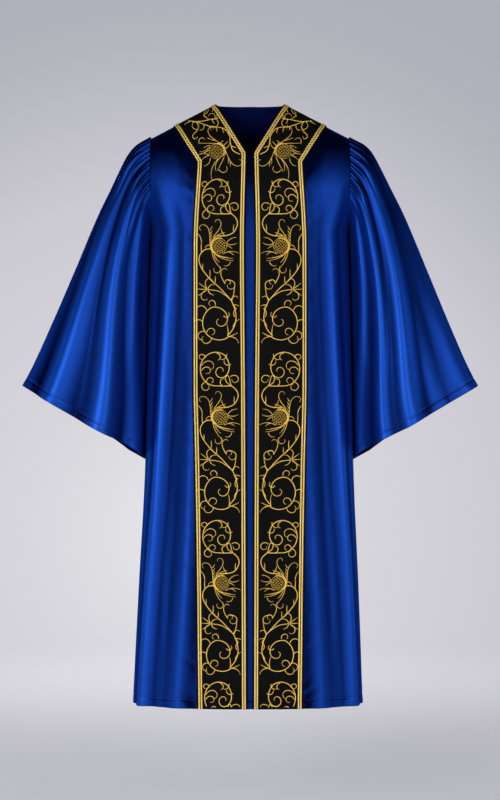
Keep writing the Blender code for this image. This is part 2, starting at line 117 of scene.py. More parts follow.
# Soft upright folds: the angle round the body near the armpit and at the hem, the half width, and the
# height at each of the two
FRONT_FOLDS = dict(
    top_angle=(24, 48, 68),
    hem_angle=(32, 61, 77),
    half_angle=(10, 11, 10),
    top_height=(0.0, 0.0046, 0.0016),
    hem_height=(0.0050, 0.0115, 0.0030),
)
BACK_FOLDS = dict(
    top_angle=(9, 27, 46, 67),
    hem_angle=(11, 31, 52, 73),
    half_angle=(10, 10, 11, 11),
    top_height=(0.0035, 0.0040, 0.0035, 0.0020),
    hem_height=(0.0100, 0.0115, 0.0105, 0.0080),
)
FOLD_START_Z = -0.130
FOLD_GROWS_OVER = 0.240
BODY_FOLD_DEEPER = 1.35  # how much deeper the folds are than in the solids
SLEEVE_FOLD_DEEPER = 1.6

# The sleeve
SLEEVE_TOP = dict(
    x=(0.2238, 0.255, 0.273, 0.291, 0.313, 0.338, 0.388, 0.437, 0.487, 0.505),
    z=(SHOULDER_Z, -0.095, -0.116, -0.150, -0.197, -0.250, -0.371, -0.487, -0.597, -0.630),
)
SLEEVE_INNER_END_Z = -0.790
SLEEVE_CLEAR = 0.0003  # clear space between the hanging sleeve and the body
SLEEVE_CLEAR_AT = 0.02  # the share of the sleeve's length where that starts
SLEEVE_DEPTH = dict(
    along=(0.0, 0.08, 0.20, 0.45, 0.75, 1.0),
    half=(ARMHOLE_HALF_DEPTH, 0.072, 0.079, 0.086, 0.090, 0.088),
)
SEAM_LIP = 0.0002  # more clear space at the armhole's foot
HEM_RISE_FRONT = 0.014
HEM_DROP_BACK = 0.011
CUFF_OUTER_SHARE = 0.15  # how much of that rise and drop the outer half of the cuff has
CUFF_OPENS_OVER = 60  # the turn over which the share grows, inward from the widest place
GATHER_TURN = 40 / 3
GATHER_HEIGHT = 0.0038
GATHER_LAST_TURN = 112
GATHER_FADE_TURN = 18
GATHER_LENGTH = 0.34
GATHER_MEAN = 0.75  # mean reach and strength of a gather, which vary from one to the next
GATHER_CREST = 0.75  # under 1 gives full crests and sharp valleys
SMALL_GATHERS = dict(per_wave=2.1, phase=0.7, share=0.75, reach=0.13)
FOLD_RISES_OVER = 0.10
SLEEVE_FOLDS_FRONT = {
    RIGHT: dict(
        cap_turn=(4, 41, 76, 112),
        cuff_turn=(13, 59, 106, 149),
        half_turn=(20, 23, 24, 20),
        cap_height=(0.0015, 0.0030, 0.0035, 0.0030),
        cuff_height=(0.0050, 0.0160, 0.0170, 0.0050),
    ),
    LEFT: dict(
        cap_turn=(10, 54, 88, 122),
        cuff_turn=(30, 95, 120, 158),
        half_turn=(29, 21, 18, 16),
        cap_height=(0.0030, 0.0030, 0.0035, 0.0030),
        cuff_height=(0.0130, 0.0150, 0.0140, 0.0040),
    ),
}
SLEEVE_FOLDS_BACK = dict(
    cap_turn=(34, 66, 100, 128),
    cuff_turn=(36, 78, 117, 154),
    half_turn=(20, 22, 22, 18),
    cap_height=(0.0025, 0.0035, 0.0030, 0.0020),
    cuff_height=(0.0120, 0.0160, 0.0140, 0.0090),
)

# Uneven layers of the cloth: the size of their cells across and down, their shift in cells, height and
# seed. On the body, across is in degrees and down in metres. On a sleeve, across is in degrees and down is
# a share. Puckers are in metres both ways.
CREASES = dict(wide=9, long=0.35, shift=(0, 7), height=0.0022, seed=10)
RIPPLES = dict(wide=3.2, long=0.16, shift=(0, 31), height=0.0003, seed=30)
BAND_PUCKERS = dict(wide=0.016, long=0.09, shift=(0, 0), height=0.0020, seed=50)
HEM_PUCKERS = dict(wide=0.011, long=0.03, shift=(0, 5), height=0.0007, seed=0)
GATHER_WANDERS = dict(wide=23, long=0.4, shift=(4, 0), height=0.45, seed=60)
GATHER_REACHES = dict(wide=GATHER_TURN, long=1, shift=(0, 0), height=0.55, seed=69)
GATHER_STRENGTHS = dict(wide=GATHER_TURN, long=1, shift=(0.5, 2), height=0.35, seed=73)
SLEEVE_CREASES = dict(wide=24, long=1 / 1.6, shift=(3, 5), height=0.0024, seed=90)
SLEEVE_RIPPLES = dict(wide=7.5, long=1 / 3.1, shift=(8, 9), height=0.0003, seed=95)
NOISE_CELLS = 64
FIRST_SEED = 100
BODY_HEM_SEED = 3
CUFF_HEM_SEED = 45

# Where the body's creases and folds start and fade
CREASE_START_Z = -0.12
CREASE_GROWS_OVER = 0.16
CREASE_ENDS_BY_SIDE = 0.035
CREASE_ENDS_BY_BAND = 0.02
ARMHOLE_FADE = 0.02
ARMPIT_FADE = 0.03

# The puckers beside the band's sewn edge slant down from it, and are full just above the hem
PUCKER_RISES_OVER = 0.008
PUCKER_REACH = 0.045
PUCKER_SLANT = 0.6
PUCKER_LEAST = 0.35
PULL_ABOVE_HEM = 0.16
PULL_GROWS_OVER = 0.10

# Where a sleeve's creases start and fade
CREASE_GROWS_ALONG = 0.25
CREASE_EDGE_TURN = 12

# The hem is turned up and stitched
HEM_TURN_UP = 0.019
TURN_UP_LIFT = 0.0003
TURN_UP_BLEND = 0.012
TROUGH_DEPTH = 0.0006
TROUGH_HALF = 0.0026
HEM_FADE_ANGLE = 4  # the turned hem goes flat this close to the side seam

CAMERA_AT = (0.0, -4.55, -0.66)

# Levels count down a panel: degrees round the armhole to the armpit, then millimetres below it
ARMPIT_LEVEL = 180
HEM_LEVEL = ARMPIT_LEVEL + (UNDERARM_Z - HEM_Z) * 1000
LEVEL_STEP = 3.0
SKIRT_STEPS = 112
HEM_STEPS = 20
HEM_FINE = 0.030
BAND_CELLS = 26
SIDE_CELLS = 56
NECK_CELLS = 22
BACK_BAND_CELLS = 20
BACK_SIDE_CELLS = 44
SLEEVE_CELLS_ROUND = 288
SLEEVE_CELLS_ALONG = 118
SLEEVE_ROWS_POWER = 1.12  # the rows lie closer together at the cap


def smooth_curve(at, places, values):
    """A curve through a table's values with no corners and no overshoot."""
    places = np.asarray(places, dtype=float)
    values = np.asarray(values, dtype=float)
    if places[0] > places[-1]:
        places = places[::-1]
        values = values[::-1]
    steps = np.diff(places)
    rises = np.diff(values) / steps
    slopes = np.zeros(len(places))
    slopes[0] = rises[0]
    slopes[-1] = rises[-1]
    for i in range(1, len(places) - 1):
        if rises[i - 1] * rises[i] > 0:
            slopes[i] = 2 * rises[i - 1] * rises[i] / (rises[i - 1] + rises[i])
    at = np.clip(at, places[0], places[-1])
    k = np.clip(np.searchsorted(places, at, side="right") - 1, 0, len(steps) - 1)
    t = (at - places[k]) / steps[k]
    from_start = values[k] * (1 + 2 * t) * (1 - t) ** 2 + slopes[k] * steps[k] * t * (1 - t) ** 2
    from_end = values[k + 1] * (3 - 2 * t) * t * t - slopes[k + 1] * steps[k] * (1 - t) * t * t
    return from_start + from_end


def ease(t):
    """0 to 1 with a soft start and end."""
    t = np.clip(t, 0.0, 1.0)
    return t * t * (3 - 2 * t)


def mix(a, b, t):
    return a + (b - a) * t


def lengths_along(points):
    """The distance run along a line of points, from 0 at its start."""
    return np.concatenate(((0.0,), np.cumsum(np.linalg.norm(np.diff(points, axis=0), axis=1))))


def unit(vectors):
    return vectors / np.linalg.norm(vectors, axis=-1, keepdims=True)


def soft_noise(u, v, seed):
    """Smooth random heights from -1 to 1, a new one at each whole number of u and v."""
    lattice = np.random.default_rng(FIRST_SEED + seed).uniform(-1, 1, (NOISE_CELLS, NOISE_CELLS))
    u, v = np.broadcast_arrays(u, v)
    row = np.floor(u).astype(int)
    column = np.floor(v).astype(int)
    across = ease(u - row)
    down = ease(v - column)
    corners = [lattice[(row + i) % NOISE_CELLS, (column + j) % NOISE_CELLS] for i in (0, 1) for j in (0, 1)]
    near = mix(corners[0], corners[1], down)
    far = mix(corners[2], corners[3], down)
    return mix(near, far, across)


def uneven(layer, across, down, seed):
    """One layer of unevenness, from minus to plus its height."""
    u = across / layer["wide"] + layer["shift"][0]
    v = down / layer["long"] + layer["shift"][1]
    return layer["height"] * soft_noise(u, v, layer["seed"] + seed)


# The body

def armhole_z(turn):
    middle = (SHOULDER_Z + UNDERARM_Z) / 2
    return middle + (SHOULDER_Z - middle) * np.cos(np.radians(turn))


def armhole_depth(z):
    middle = (SHOULDER_Z + UNDERARM_Z) / 2
    share = (z - middle) / (SHOULDER_Z - middle)
    return ARMHOLE_HALF_DEPTH * np.sqrt(np.maximum(0.0, 1 - share * share))


def body_depth(face, z):
    return smooth_curve(z, BODY["z"], BODY["front" if face == FRONT else "back"])


def roundness(z):
    return smooth_curve(z, BODY["z"], BODY["roundness"])


def shoulder_width(z):
    return mix(NECK_HALF, ARMHOLE_X, z / SHOULDER_Z)


def half_width(face, side, z):
    power = roundness(z)
    share = (armhole_depth(z) / body_depth(face, z)) ** power
    by_armhole = ARMHOLE_X / (1 - share) ** (1 / power)
    skirt = smooth_curve(z, SKIRT["z"], SKIRT["left" if side == LEFT else "right"])
    return np.where(z >= SHOULDER_Z, shoulder_width(z), np.where(z > UNDERARM_Z, by_armhole, skirt))


def angle_at(face, side, x, z):
    """The angle round the body, 0 at its middle and 90 at its side, where the section is x wide."""
    share = np.clip(x / half_width(face, side, z), 0.0, 1.0)
    return np.degrees(np.arcsin(share ** (roundness(z) / 2)))


def fold_height(table, angle, z):
    down = ease((FOLD_START_Z - z) / (FOLD_START_Z - HEM_Z))
    growth = ease((FOLD_START_Z - z) / FOLD_GROWS_OVER)
    total = np.zeros(np.broadcast(angle, z).shape)
    for top, hem, half, top_height, hem_height in zip(*table.values()):
        away = np.minimum(1.0, np.abs(angle - mix(top, hem, down)) / half)
        total = total + growth * mix(top_height, hem_height, down) * np.cos(away * math.pi / 2) ** 2
    return BODY_FOLD_DEEPER * total


def crease_height(face, side, angle, z):
    """Uneven creases between the main folds, and puckers where a band's edge is sewn down."""
    seed = 2 * face + side
    x = half_width(face, side, z) * np.sin(np.radians(np.clip(angle, 0, 90))) ** (2 / roundness(z))
    side_x = np.where(z > UNDERARM_Z, ARMHOLE_X, half_width(face, side, z))
    free = ease((side_x - x) / CREASE_ENDS_BY_SIDE) * ease((CREASE_START_Z - z) / CREASE_GROWS_OVER)
    height = free * (uneven(CREASES, angle, z, seed) + uneven(RIPPLES, angle, z, seed))
    if face == FRONT:
        past_band = x - band_edge_x(z)
        height = height * ease(past_band / CREASE_ENDS_BY_BAND)
        near_band = ease(past_band / PUCKER_RISES_OVER) * ease(1 - past_band / PUCKER_REACH)
        pulled = mix(PUCKER_LEAST, 1.0, ease((HEM_Z + PULL_ABOVE_HEM - z) / PULL_GROWS_OVER))
        puckers = uneven(BAND_PUCKERS, z - PUCKER_SLANT * past_band, past_band, seed)
        height = height + near_band * pulled * puckers
    return height


def hem_height(from_hem, run, seed):
    """The stitched trough above a hem and the small puckers below it."""
    trough = np.exp(-((from_hem - HEM_TURN_UP) / TROUGH_HALF) ** 2)
    below = ease((HEM_TURN_UP - from_hem) / TURN_UP_BLEND + 0.5)
    return below * (TURN_UP_LIFT + uneven(HEM_PUCKERS, run, from_hem, seed)) - TROUGH_DEPTH * trough


def body_point(face, side, angle, z):
    """Points on the outer face of the body's cloth."""
    angle, z = np.broadcast_arrays(np.asarray(angle, dtype=float), np.asarray(z, dtype=float))
    power = roundness(z)
    width = half_width(face, side, z)
    depth = body_depth(face, z)
    across = np.sin(np.radians(angle)) ** (2 / power)
    forward = np.maximum(0.0, np.cos(np.radians(angle))) ** (2 / power)
    normal_x = across ** (power - 1) / width
    normal_y = forward ** (power - 1) / depth
    size = np.hypot(normal_x, normal_y)
    from_armhole = np.where(z > UNDERARM_Z, (ARMHOLE_X - width * across) / ARMHOLE_FADE, 1.0)
    by_armhole = mix(1.0, ease(from_armhole), ease((z - UNDERARM_Z) / ARMPIT_FADE))
    lift = by_armhole * fold_height(FRONT_FOLDS if face == FRONT else BACK_FOLDS, angle, z)
    lift = lift + crease_height(face, side, angle, z)
    hem = hem_height(z - HEM_Z, width * across, BODY_HEM_SEED + side + 5 * face)
    lift = lift + ease((90 - angle) / HEM_FADE_ANGLE) * hem
    x = width * across + lift * normal_x / size
    y = SIDE_GAP / 2 + depth * forward + lift * normal_y / size
    return np.stack((side * x, face * y, z), axis=-1)


def opening_x(z):
    in_v = mix(NECK_HALF, V_END_X, z / V_END_Z)
    return np.where(z >= V_END_Z, in_v, smooth_curve(z, OPENING["z"], OPENING["half_gap"]))


def band_edge_x(z):
    share = (z - BAND_CORNER_Z) / (BAND_TOP_Z - BAND_CORNER_Z)
    slanted = mix(BAND_CORNER_X, shoulder_width(BAND_TOP_Z), share)
    return np.where(z >= BAND_CORNER_Z, slanted, smooth_curve(z, BAND_EDGE["z"], BAND_EDGE["x"]))


def down_panel(level, table, name, on_seam, seam_power=SEAM_POWER):
    """A row table's value at a level, from the shoulder seam through the table to its last row."""
    turns = table["turn"]
    first = table[name][0]
    close = on_seam + (first - on_seam) * np.clip(level / turns[0], 0, 1) ** seam_power
    return np.where(level < turns[0], close, smooth_curve(level, turns, table[name]))


def down_skirt(level, above):
    return np.where(level > ARMPIT_LEVEL, UNDERARM_Z - (level - ARMPIT_LEVEL) / 1000, above)


def row_z(level, table, name, on_seam, seam_power=SEAM_POWER):
    """The height of a row at one of its places, also below the armpit, where the rows run level."""
    return down_skirt(level, down_panel(level, table, name, on_seam, seam_power))


def arm_place(face, side, level):
    """Where a row ends: on the armhole, and below it on the side seam."""
    z = down_skirt(level, armhole_z(np.minimum(level, ARMPIT_LEVEL)))
    return np.where(level > ARMPIT_LEVEL, half_width(face, side, z), ARMHOLE_X), z


def edge_places(level):
    """Heights of a front's row at the opening and at the band's outer edge."""
    return row_z(level, FRONT_ROWS, "edge_z", 0.0), row_z(level, FRONT_ROWS, "band_z", BAND_TOP_Z)


def band_width(level):
    edge_z, band_z = edge_places(level)
    return np.hypot(band_edge_x(band_z) - opening_x(edge_z), band_z - edge_z)


def front_point(side, across, level):
    """Points of a front: across is 0 to 1 over the band, then 1 to 2 on to the armhole or the side seam."""
    across, level = np.broadcast_arrays(np.asarray(across, dtype=float), np.asarray(level, dtype=float))
    edge_z, band_z = edge_places(level)
    share = np.clip(across, 0, 1)
    x = mix(opening_x(edge_z), band_edge_x(band_z), share)
    z = mix(edge_z, band_z, share)
    arm_x, arm_z = arm_place(FRONT, side, level)
    past = np.clip(across - 1, 0, 1)
    angle = mix(angle_at(FRONT, side, x, z), angle_at(FRONT, side, arm_x, arm_z), past)
    return body_point(FRONT, side, angle, mix(z, arm_z, past))


def back_point(side, across, level):
    """Points of half a back.

    across is 0 in the middle, 1 under the neck point, 2 at the band's edge and 3 at the armhole or the side
    seam.
    """
    across, level = np.broadcast_arrays(np.asarray(across, dtype=float), np.asarray(level, dtype=float))
    centre_z = row_z(level, BACK_ROWS, "centre_z", BACK_NECK_RISE, 1)
    neck_z = row_z(level, BACK_ROWS, "neck_z", 0.0)
    band_z = row_z(level, BACK_ROWS, "band_z", BAND_TOP_Z)
    neck_x = down_panel(level, BACK_ROWS, "neck_x", NECK_HALF)
    band_x = down_panel(level, BACK_ROWS, "band_x", shoulder_width(BAND_TOP_Z))
    arm_x, arm_z = arm_place(BACK, side, level)
    neck_angle = angle_at(BACK, side, neck_x, np.maximum(np.minimum(neck_z, 0.0), UNDERARM_Z))
    band_angle = angle_at(BACK, side, band_x, np.maximum(band_z, UNDERARM_Z))
    arm_angle = angle_at(BACK, side, arm_x, arm_z)
    by_seam = 1 - np.clip(level / BACK_ROWS["turn"][0], 0, 1)
    to_neck, to_band, to_arm = [np.clip(across - start, 0, 1) for start in (0, 1, 2)]
    angle = mix(mix(neck_angle * to_neck, band_angle, to_band), arm_angle, to_arm)
    z = mix(centre_z, neck_z, mix(to_neck, ease(to_neck), by_seam))
    z = mix(mix(z, band_z, to_band), arm_z, to_arm)
    return body_point(BACK, side, angle, z)


# The sleeve: its turn is 0 on the upper line and 180 beside the body

SLEEVE_LINE = np.array((SLEEVE_TOP["x"], SLEEVE_TOP["z"])).T
SLEEVE_RUN = lengths_along(SLEEVE_LINE)


def sleeve_top(along):
    """The upper line of a sleeve at a share of its length."""
    at = along * SLEEVE_RUN[-1]
    return smooth_curve(at, SLEEVE_RUN, SLEEVE_LINE[:, 0]), smooth_curve(at, SLEEVE_RUN, SLEEVE_LINE[:, 1])


def sleeve_fold(side, face, turn, along):
    table = SLEEVE_FOLDS_FRONT[side] if face == FRONT else SLEEVE_FOLDS_BACK
    total = np.zeros(np.broadcast(turn, along).shape)
    for cap, cuff, half, cap_height, cuff_height in zip(*table.values()):
        away = np.minimum(1.0, np.abs(turn - mix(cap, cuff, ease(along))) / half)
        height = ease(along / FOLD_RISES_OVER) * mix(cap_height, cuff_height, along)
        total = total + height * np.cos(away * math.pi / 2) ** 2
    creases = gather_height(side, face, turn, along) + sleeve_crease(side, face, turn, along)
    return SLEEVE_FOLD_DEEPER * total + creases


def gather_height(side, face, turn, along):
    """Uneven gathers that fan out from the cap's seam and die out at different lengths."""
    seed = 3 * side + face
    reach = GATHER_LENGTH * (GATHER_MEAN + uneven(GATHER_REACHES, turn, 0.0, seed))
    strength = GATHER_MEAN + uneven(GATHER_STRENGTHS, turn, 0.0, seed)
    fade = ease((GATHER_LAST_TURN - turn) / GATHER_FADE_TURN) * ease((reach - along) / reach)
    phase = math.pi * turn / GATHER_TURN + uneven(GATHER_WANDERS, turn, along, seed)
    wave = 2 * np.abs(np.cos(phase)) ** GATHER_CREST - 1
    small = 2 * np.abs(np.cos(SMALL_GATHERS["per_wave"] * phase + SMALL_GATHERS["phase"])) - 1
    small = small * SMALL_GATHERS["share"] * ease(1 - along / SMALL_GATHERS["reach"])
    return fade * strength * GATHER_HEIGHT * (wave + small)


def sleeve_crease(side, face, turn, along):
    """Soft lengthwise unevenness, none at the seam and where the front and the back of the sleeve meet."""
    seed = 3 * side + face
    off_edges = ease(turn / CREASE_EDGE_TURN) * ease((180 - turn) / CREASE_EDGE_TURN)
    free = ease(along / CREASE_GROWS_ALONG) * off_edges
    return free * (uneven(SLEEVE_CREASES, turn, along, seed) + uneven(SLEEVE_RIPPLES, turn, along, seed))


def sleeve_point(side, turn, along):
    """Points on the outer face of a sleeve. A turn past 180 comes back up behind the arm."""
    turn, along = np.broadcast_arrays(np.asarray(turn, dtype=float), np.asarray(along, dtype=float))
    behind = turn > 180
    face = np.where(behind, BACK, FRONT)
    turn = np.where(behind, 360 - turn, turn)
    top_x, top_z = sleeve_top(along)
    under_z = mix(UNDERARM_Z, SLEEVE_INNER_END_Z, along)
    clear = mix(SEAM + SEAM_LIP, SLEEVE_CLEAR, ease(along / SLEEVE_CLEAR_AT))
    under_x = half_width(FRONT, side, under_z) + clear
    centre_x, centre_z = (top_x + under_x) / 2, (top_z + under_z) / 2
    reach_x, reach_z = (top_x - under_x) / 2, (top_z - under_z) / 2
    length = np.hypot(reach_x, reach_z)
    depth = smooth_curve(along, SLEEVE_DEPTH["along"], SLEEVE_DEPTH["half"])
    up = np.cos(np.radians(turn))
    out = np.sin(np.radians(turn))
    size = np.hypot(up / length, out / depth)
    lift = np.where(behind, sleeve_fold(side, BACK, turn, along), sleeve_fold(side, FRONT, turn, along))
    around = np.radians(turn) * (length + depth) / 2
    lift = lift + hem_height((1 - along) * SLEEVE_RUN[-1], around, CUFF_HEM_SEED + side)
    moved_up = up / length / size * lift / length
    x = centre_x + reach_x * (up + moved_up)
    z = centre_z + reach_z * (up + moved_up)
    y = depth * out + out / depth / size * lift
    opens = along ** 2 * out * mix(CUFF_OUTER_SHARE, 1.0, ease((turn - 90) / CUFF_OPENS_OVER))
    z = z + opens * np.where(behind, -HEM_DROP_BACK, HEM_RISE_FRONT)
    return np.stack((side * x, face * y, z), axis=-1)


# Grids of points to meshes

LEAST_SIZE = 1e-12


def grid_normals(rows, closed=False, flip=False):
    """Unit normals of a grid of points, outward."""
    down = np.gradient(rows, axis=0)
    if closed:
        across = (np.roll(rows, -1, axis=1) - np.roll(rows, 1, axis=1)) / 2
    else:
        across = np.gradient(rows, axis=1)
    normals = np.cross(across, down)
    size = np.linalg.norm(normals, axis=2, keepdims=True)
    normals = normals / np.maximum(size, LEAST_SIZE)
    return -normals if flip else normals


# Painted light for the velvet: fold crests painted brighter, hollows and cloth that faces up painted darker
PAINTED_LIGHT_REACH = 0.036  # how far to each side a fold's height is measured
PAINTED_LIGHT_DEPTH = 0.0045  # the height that counts as a full crest
PAINTED_SHADE_FACING_UP = 1.8  # how fast the painted shade deepens where the cloth faces up
PAINTED_SHADE_LEVEL_TURN = 0.06


def painted_fold_light(rows, closed, flip, painted_shade):
    """Painted light for the cloth's colour: 1, painted highlight, on crests; 0, painted shade, in hollows
    and where the cloth turns up.
    """
    spacing = np.linalg.norm(np.diff(rows, axis=1), axis=2).mean()
    reach = max(2, int(round(PAINTED_LIGHT_REACH / spacing)))
    window = np.hanning(2 * reach + 3)[1:-1]
    padded = np.pad(rows, ((0, 0), (reach, reach), (0, 0)), mode="wrap" if closed else "edge")
    around = np.zeros(rows.shape)
    for offset, weight in enumerate(window / window.sum()):
        around += weight * padded[:, offset : offset + rows.shape[1]]
    normals = grid_normals(rows, closed, flip)
    height = ((rows - around) * normals).sum(axis=2)
    turned_up = np.maximum(0.0, normals[..., 2] * np.abs(normals[..., 1]) - PAINTED_SHADE_LEVEL_TURN)
    # crests get painted highlight; hollows, upturned cloth and the given painted shade get painted shade
    shine = 0.5 + 0.5 * np.tanh(height / PAINTED_LIGHT_DEPTH) - PAINTED_SHADE_FACING_UP * turned_up - painted_shade
    return np.clip(shine, 0.0, 1.0).astype(np.float32)


def quad_mesh(name, points, cells, places):
    """An object made of quads. places gives each point's place on its cloth in metres, for its weave."""
    mesh = bpy.data.meshes.new(name)
    mesh.vertices.add(len(points))
    mesh.vertices.foreach_set("co", points.reshape(-1))
    mesh.loops.add(cells.size)
    mesh.loops.foreach_set("vertex_index", cells.reshape(-1))
    mesh.polygons.add(len(cells))
    mesh.polygons.foreach_set("loop_start", np.arange(0, cells.size, 4))
    mesh.update(calc_edges=True)
    cloth_map = mesh.uv_layers.new(name="cloth")
    cloth_map.data.foreach_set("uv", places[cells.reshape(-1)].reshape(-1))
    mesh.shade_smooth()
    piece = bpy.data.objects.new(name, mesh)
    bpy.context.scene.collection.objects.link(piece)
    return piece


def sheet_mesh(name, rows, closed=False, flip=False, wall=BLUE_WALL, painted_shade=0.0):
    """A wall of cloth behind a grid of points."""
    index = np.arange(rows.shape[0] * rows.shape[1]).reshape(rows.shape[:2])
    right = np.roll(index, -1, axis=1) if closed else index[:, 1:]
    left = index if closed else index[:, :-1]
    cells = np.stack((left[:-1], right[:-1], right[1:], left[1:]), axis=-1).reshape(-1, 4)
    if flip:
        cells = cells[:, ::-1]
    piece = quad_mesh(name, rows.reshape(-1, 3), cells, cloth_places(rows).reshape(-1, 2))
    # the painted highlight and shade of the folds, stored for the velvet's colour
    painted_light = piece.data.attributes.new("painted_light", "FLOAT", "POINT")
    painted_light.data.foreach_set("value", painted_fold_light(rows, closed, flip, painted_shade).reshape(-1))
    thickness = piece.modifiers.new("wall", "SOLIDIFY")
    thickness.thickness = wall
    thickness.offset = -1
    thickness.use_even_offset = True
    thickness.material_offset = 1
    return piece


def cloth_places(rows):
    """Each point's place on its cloth in metres: across by its own row, down by its own column."""
    across = np.linalg.norm(np.diff(rows, axis=1), axis=2)
    down = np.linalg.norm(np.diff(rows, axis=0), axis=2)
    u = np.concatenate((np.zeros((rows.shape[0], 1)), np.cumsum(across, axis=1)), axis=1)
    v = np.concatenate((np.zeros((1, rows.shape[1])), np.cumsum(down, axis=0)), axis=0)
    middle = u[:, rows.shape[1] // 2][:, None]
    return np.stack((u - middle, v), axis=-1)


def skirt_levels():
    """Levels from the shoulder seam to the hem, closer together at the hem's stitching."""
    above = np.arange(0, ARMPIT_LEVEL, LEVEL_STEP)
    fine_start = HEM_LEVEL - HEM_FINE * 1000
    skirt = np.linspace(ARMPIT_LEVEL, fine_start, SKIRT_STEPS, endpoint=False)
    return np.concatenate((above, skirt, np.linspace(fine_start, HEM_LEVEL, HEM_STEPS)))


def front_columns():
    band = np.linspace(0, 1, BAND_CELLS + 1)
    return np.concatenate((band, np.linspace(1, 2, SIDE_CELLS + 1)[1:]))


BAND_SHADE = 0.30  # how much shade is painted on the cloth beside the band
BAND_SHADE_REACH = 0.40


def make_fronts(materials):
    """Each front panel with its band, and shade painted on the cloth beside the band."""
    made = {}
    band_painted_shade = BAND_SHADE * ease(1 - (front_columns() - 1) / BAND_SHADE_REACH)[None, :]
    for side, word in SIDE_WORDS.items():
        rows = front_point(side, front_columns()[None, :], skirt_levels()[:, None])
        flip = side == LEFT
        panel = sheet_mesh("cloth_front_" + word, rows, flip=flip, painted_shade=band_painted_shade)
        dress(panel, materials["blue"], "front_" + word, materials["blue_inside"])
        band_rows = (rows + (SEAM + BAND_WALL) * grid_normals(rows, flip=flip))[:, : BAND_CELLS + 1]
        band = sheet_mesh("cloth_band_" + word, band_rows, flip=flip, wall=BAND_WALL)
        dress(band, materials["black"], "band_" + word)
        made[side] = (panel, band)
    return made


def dress(piece, material, node, wrong_side=None):
    """Gives a piece its material, hangs it from the root, and hides the solid it stands for."""
    piece.data.materials.append(material)
    if wrong_side:
        piece.data.materials.append(wrong_side)
    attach(piece, "root")
    if node:
        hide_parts(node)


UNDERLAP_REACH = 0.013
UNDERLAP_CELLS = 4
UNDERLAP_PAINTED_SHADE = 0.22  # how much shade is painted on the strip behind the bands
UNDERLAP_BRIDGE = (0.25, 0.5, 0.75)


def make_underlap(materials):
    """The blue strip behind the front opening, from the foot of the V to the hem."""
    levels = skirt_levels()
    levels = levels[levels >= V_END_TURN][:, None]
    halves = {}
    for side in (LEFT, RIGHT):
        shares = np.linspace(0, UNDERLAP_REACH, UNDERLAP_CELLS)[None, :] / band_width(levels)
        rows = front_point(side, shares, levels)
        halves[side] = rows - (BLUE_WALL + SEAM) * grid_normals(rows, flip=side == LEFT)
    bridge = [mix(halves[RIGHT][:, :1], halves[LEFT][:, :1], share) for share in UNDERLAP_BRIDGE]
    rows = np.concatenate((halves[RIGHT][:, ::-1], *bridge, halves[LEFT]), axis=1)
    # painted shade on the strip, which lies in the bands' shadow
    strip = sheet_mesh("cloth_underlap", rows, flip=True, painted_shade=UNDERLAP_PAINTED_SHADE)
    dress(strip, materials["blue"], "front_underlap", materials["blue_inside"])
    return strip


def back_columns():
    neck = np.linspace(0, 1, NECK_CELLS + 1)
    band = np.linspace(1, 2, BACK_BAND_CELLS + 1)[1:]
    side = np.linspace(2, 3, BACK_SIDE_CELLS + 1)[1:]
    return np.concatenate((neck, band, side))


def make_back(materials):
    """The back panel and the band that follows its neckline."""
    columns = back_columns()
    levels = skirt_levels()
    left = back_point(LEFT, columns[None, :], levels[:, None])
    right = back_point(RIGHT, columns[None, :], levels[:, None])
    rows = np.concatenate((left[:, :0:-1], right), axis=1)
    panel = sheet_mesh("cloth_back", rows, flip=True)
    dress(panel, materials["blue"], "back_panel", materials["blue_inside"])
    centre = len(columns) - 1
    reach = NECK_CELLS + BACK_BAND_CELLS
    foot = int(np.searchsorted(levels, BACK_BAND_TURN)) + 1
    band_rows = rows + (SEAM + BAND_WALL) * grid_normals(rows, flip=True)
    band_rows = band_rows[:foot, centre - reach : centre + reach + 1]
    band = sheet_mesh("cloth_band_back", band_rows, flip=True, wall=BAND_WALL)
    dress(band, materials["black"], "band_back_neck")
    return panel, band


def sleeve_turns():
    return np.arange(SLEEVE_CELLS_ROUND)[None, :] * 360 / SLEEVE_CELLS_ROUND


def make_sleeves(materials):
    """Each sleeve, with a first row in the armhole's plane and closer rows at the cuff's stitching."""
    made = {}
    alongs = np.linspace(0, 1, SLEEVE_CELLS_ALONG) ** SLEEVE_ROWS_POWER
    fine_start = 1 - HEM_FINE / SLEEVE_RUN[-1]
    alongs = np.concatenate((alongs[alongs < fine_start], np.linspace(fine_start, 1, HEM_STEPS)))
    for side, word in SIDE_WORDS.items():
        rows = sleeve_point(side, sleeve_turns(), alongs[:, None])
        seam = rows[:1].copy()
        seam[..., 0] = side * (ARMHOLE_X + SEAM)
        rows = np.concatenate((seam, rows))
        sleeve = sheet_mesh("cloth_sleeve_" + word, rows, closed=True, flip=side == RIGHT)
        dress(sleeve, materials["blue"], "sleeve_" + word, materials["blue_inside"])
        made[side] = sleeve
    return made


# Cords and threads: strokes laid along a surface

THREAD_ROUND = 0.006  # the width of a thread's weave map, once round


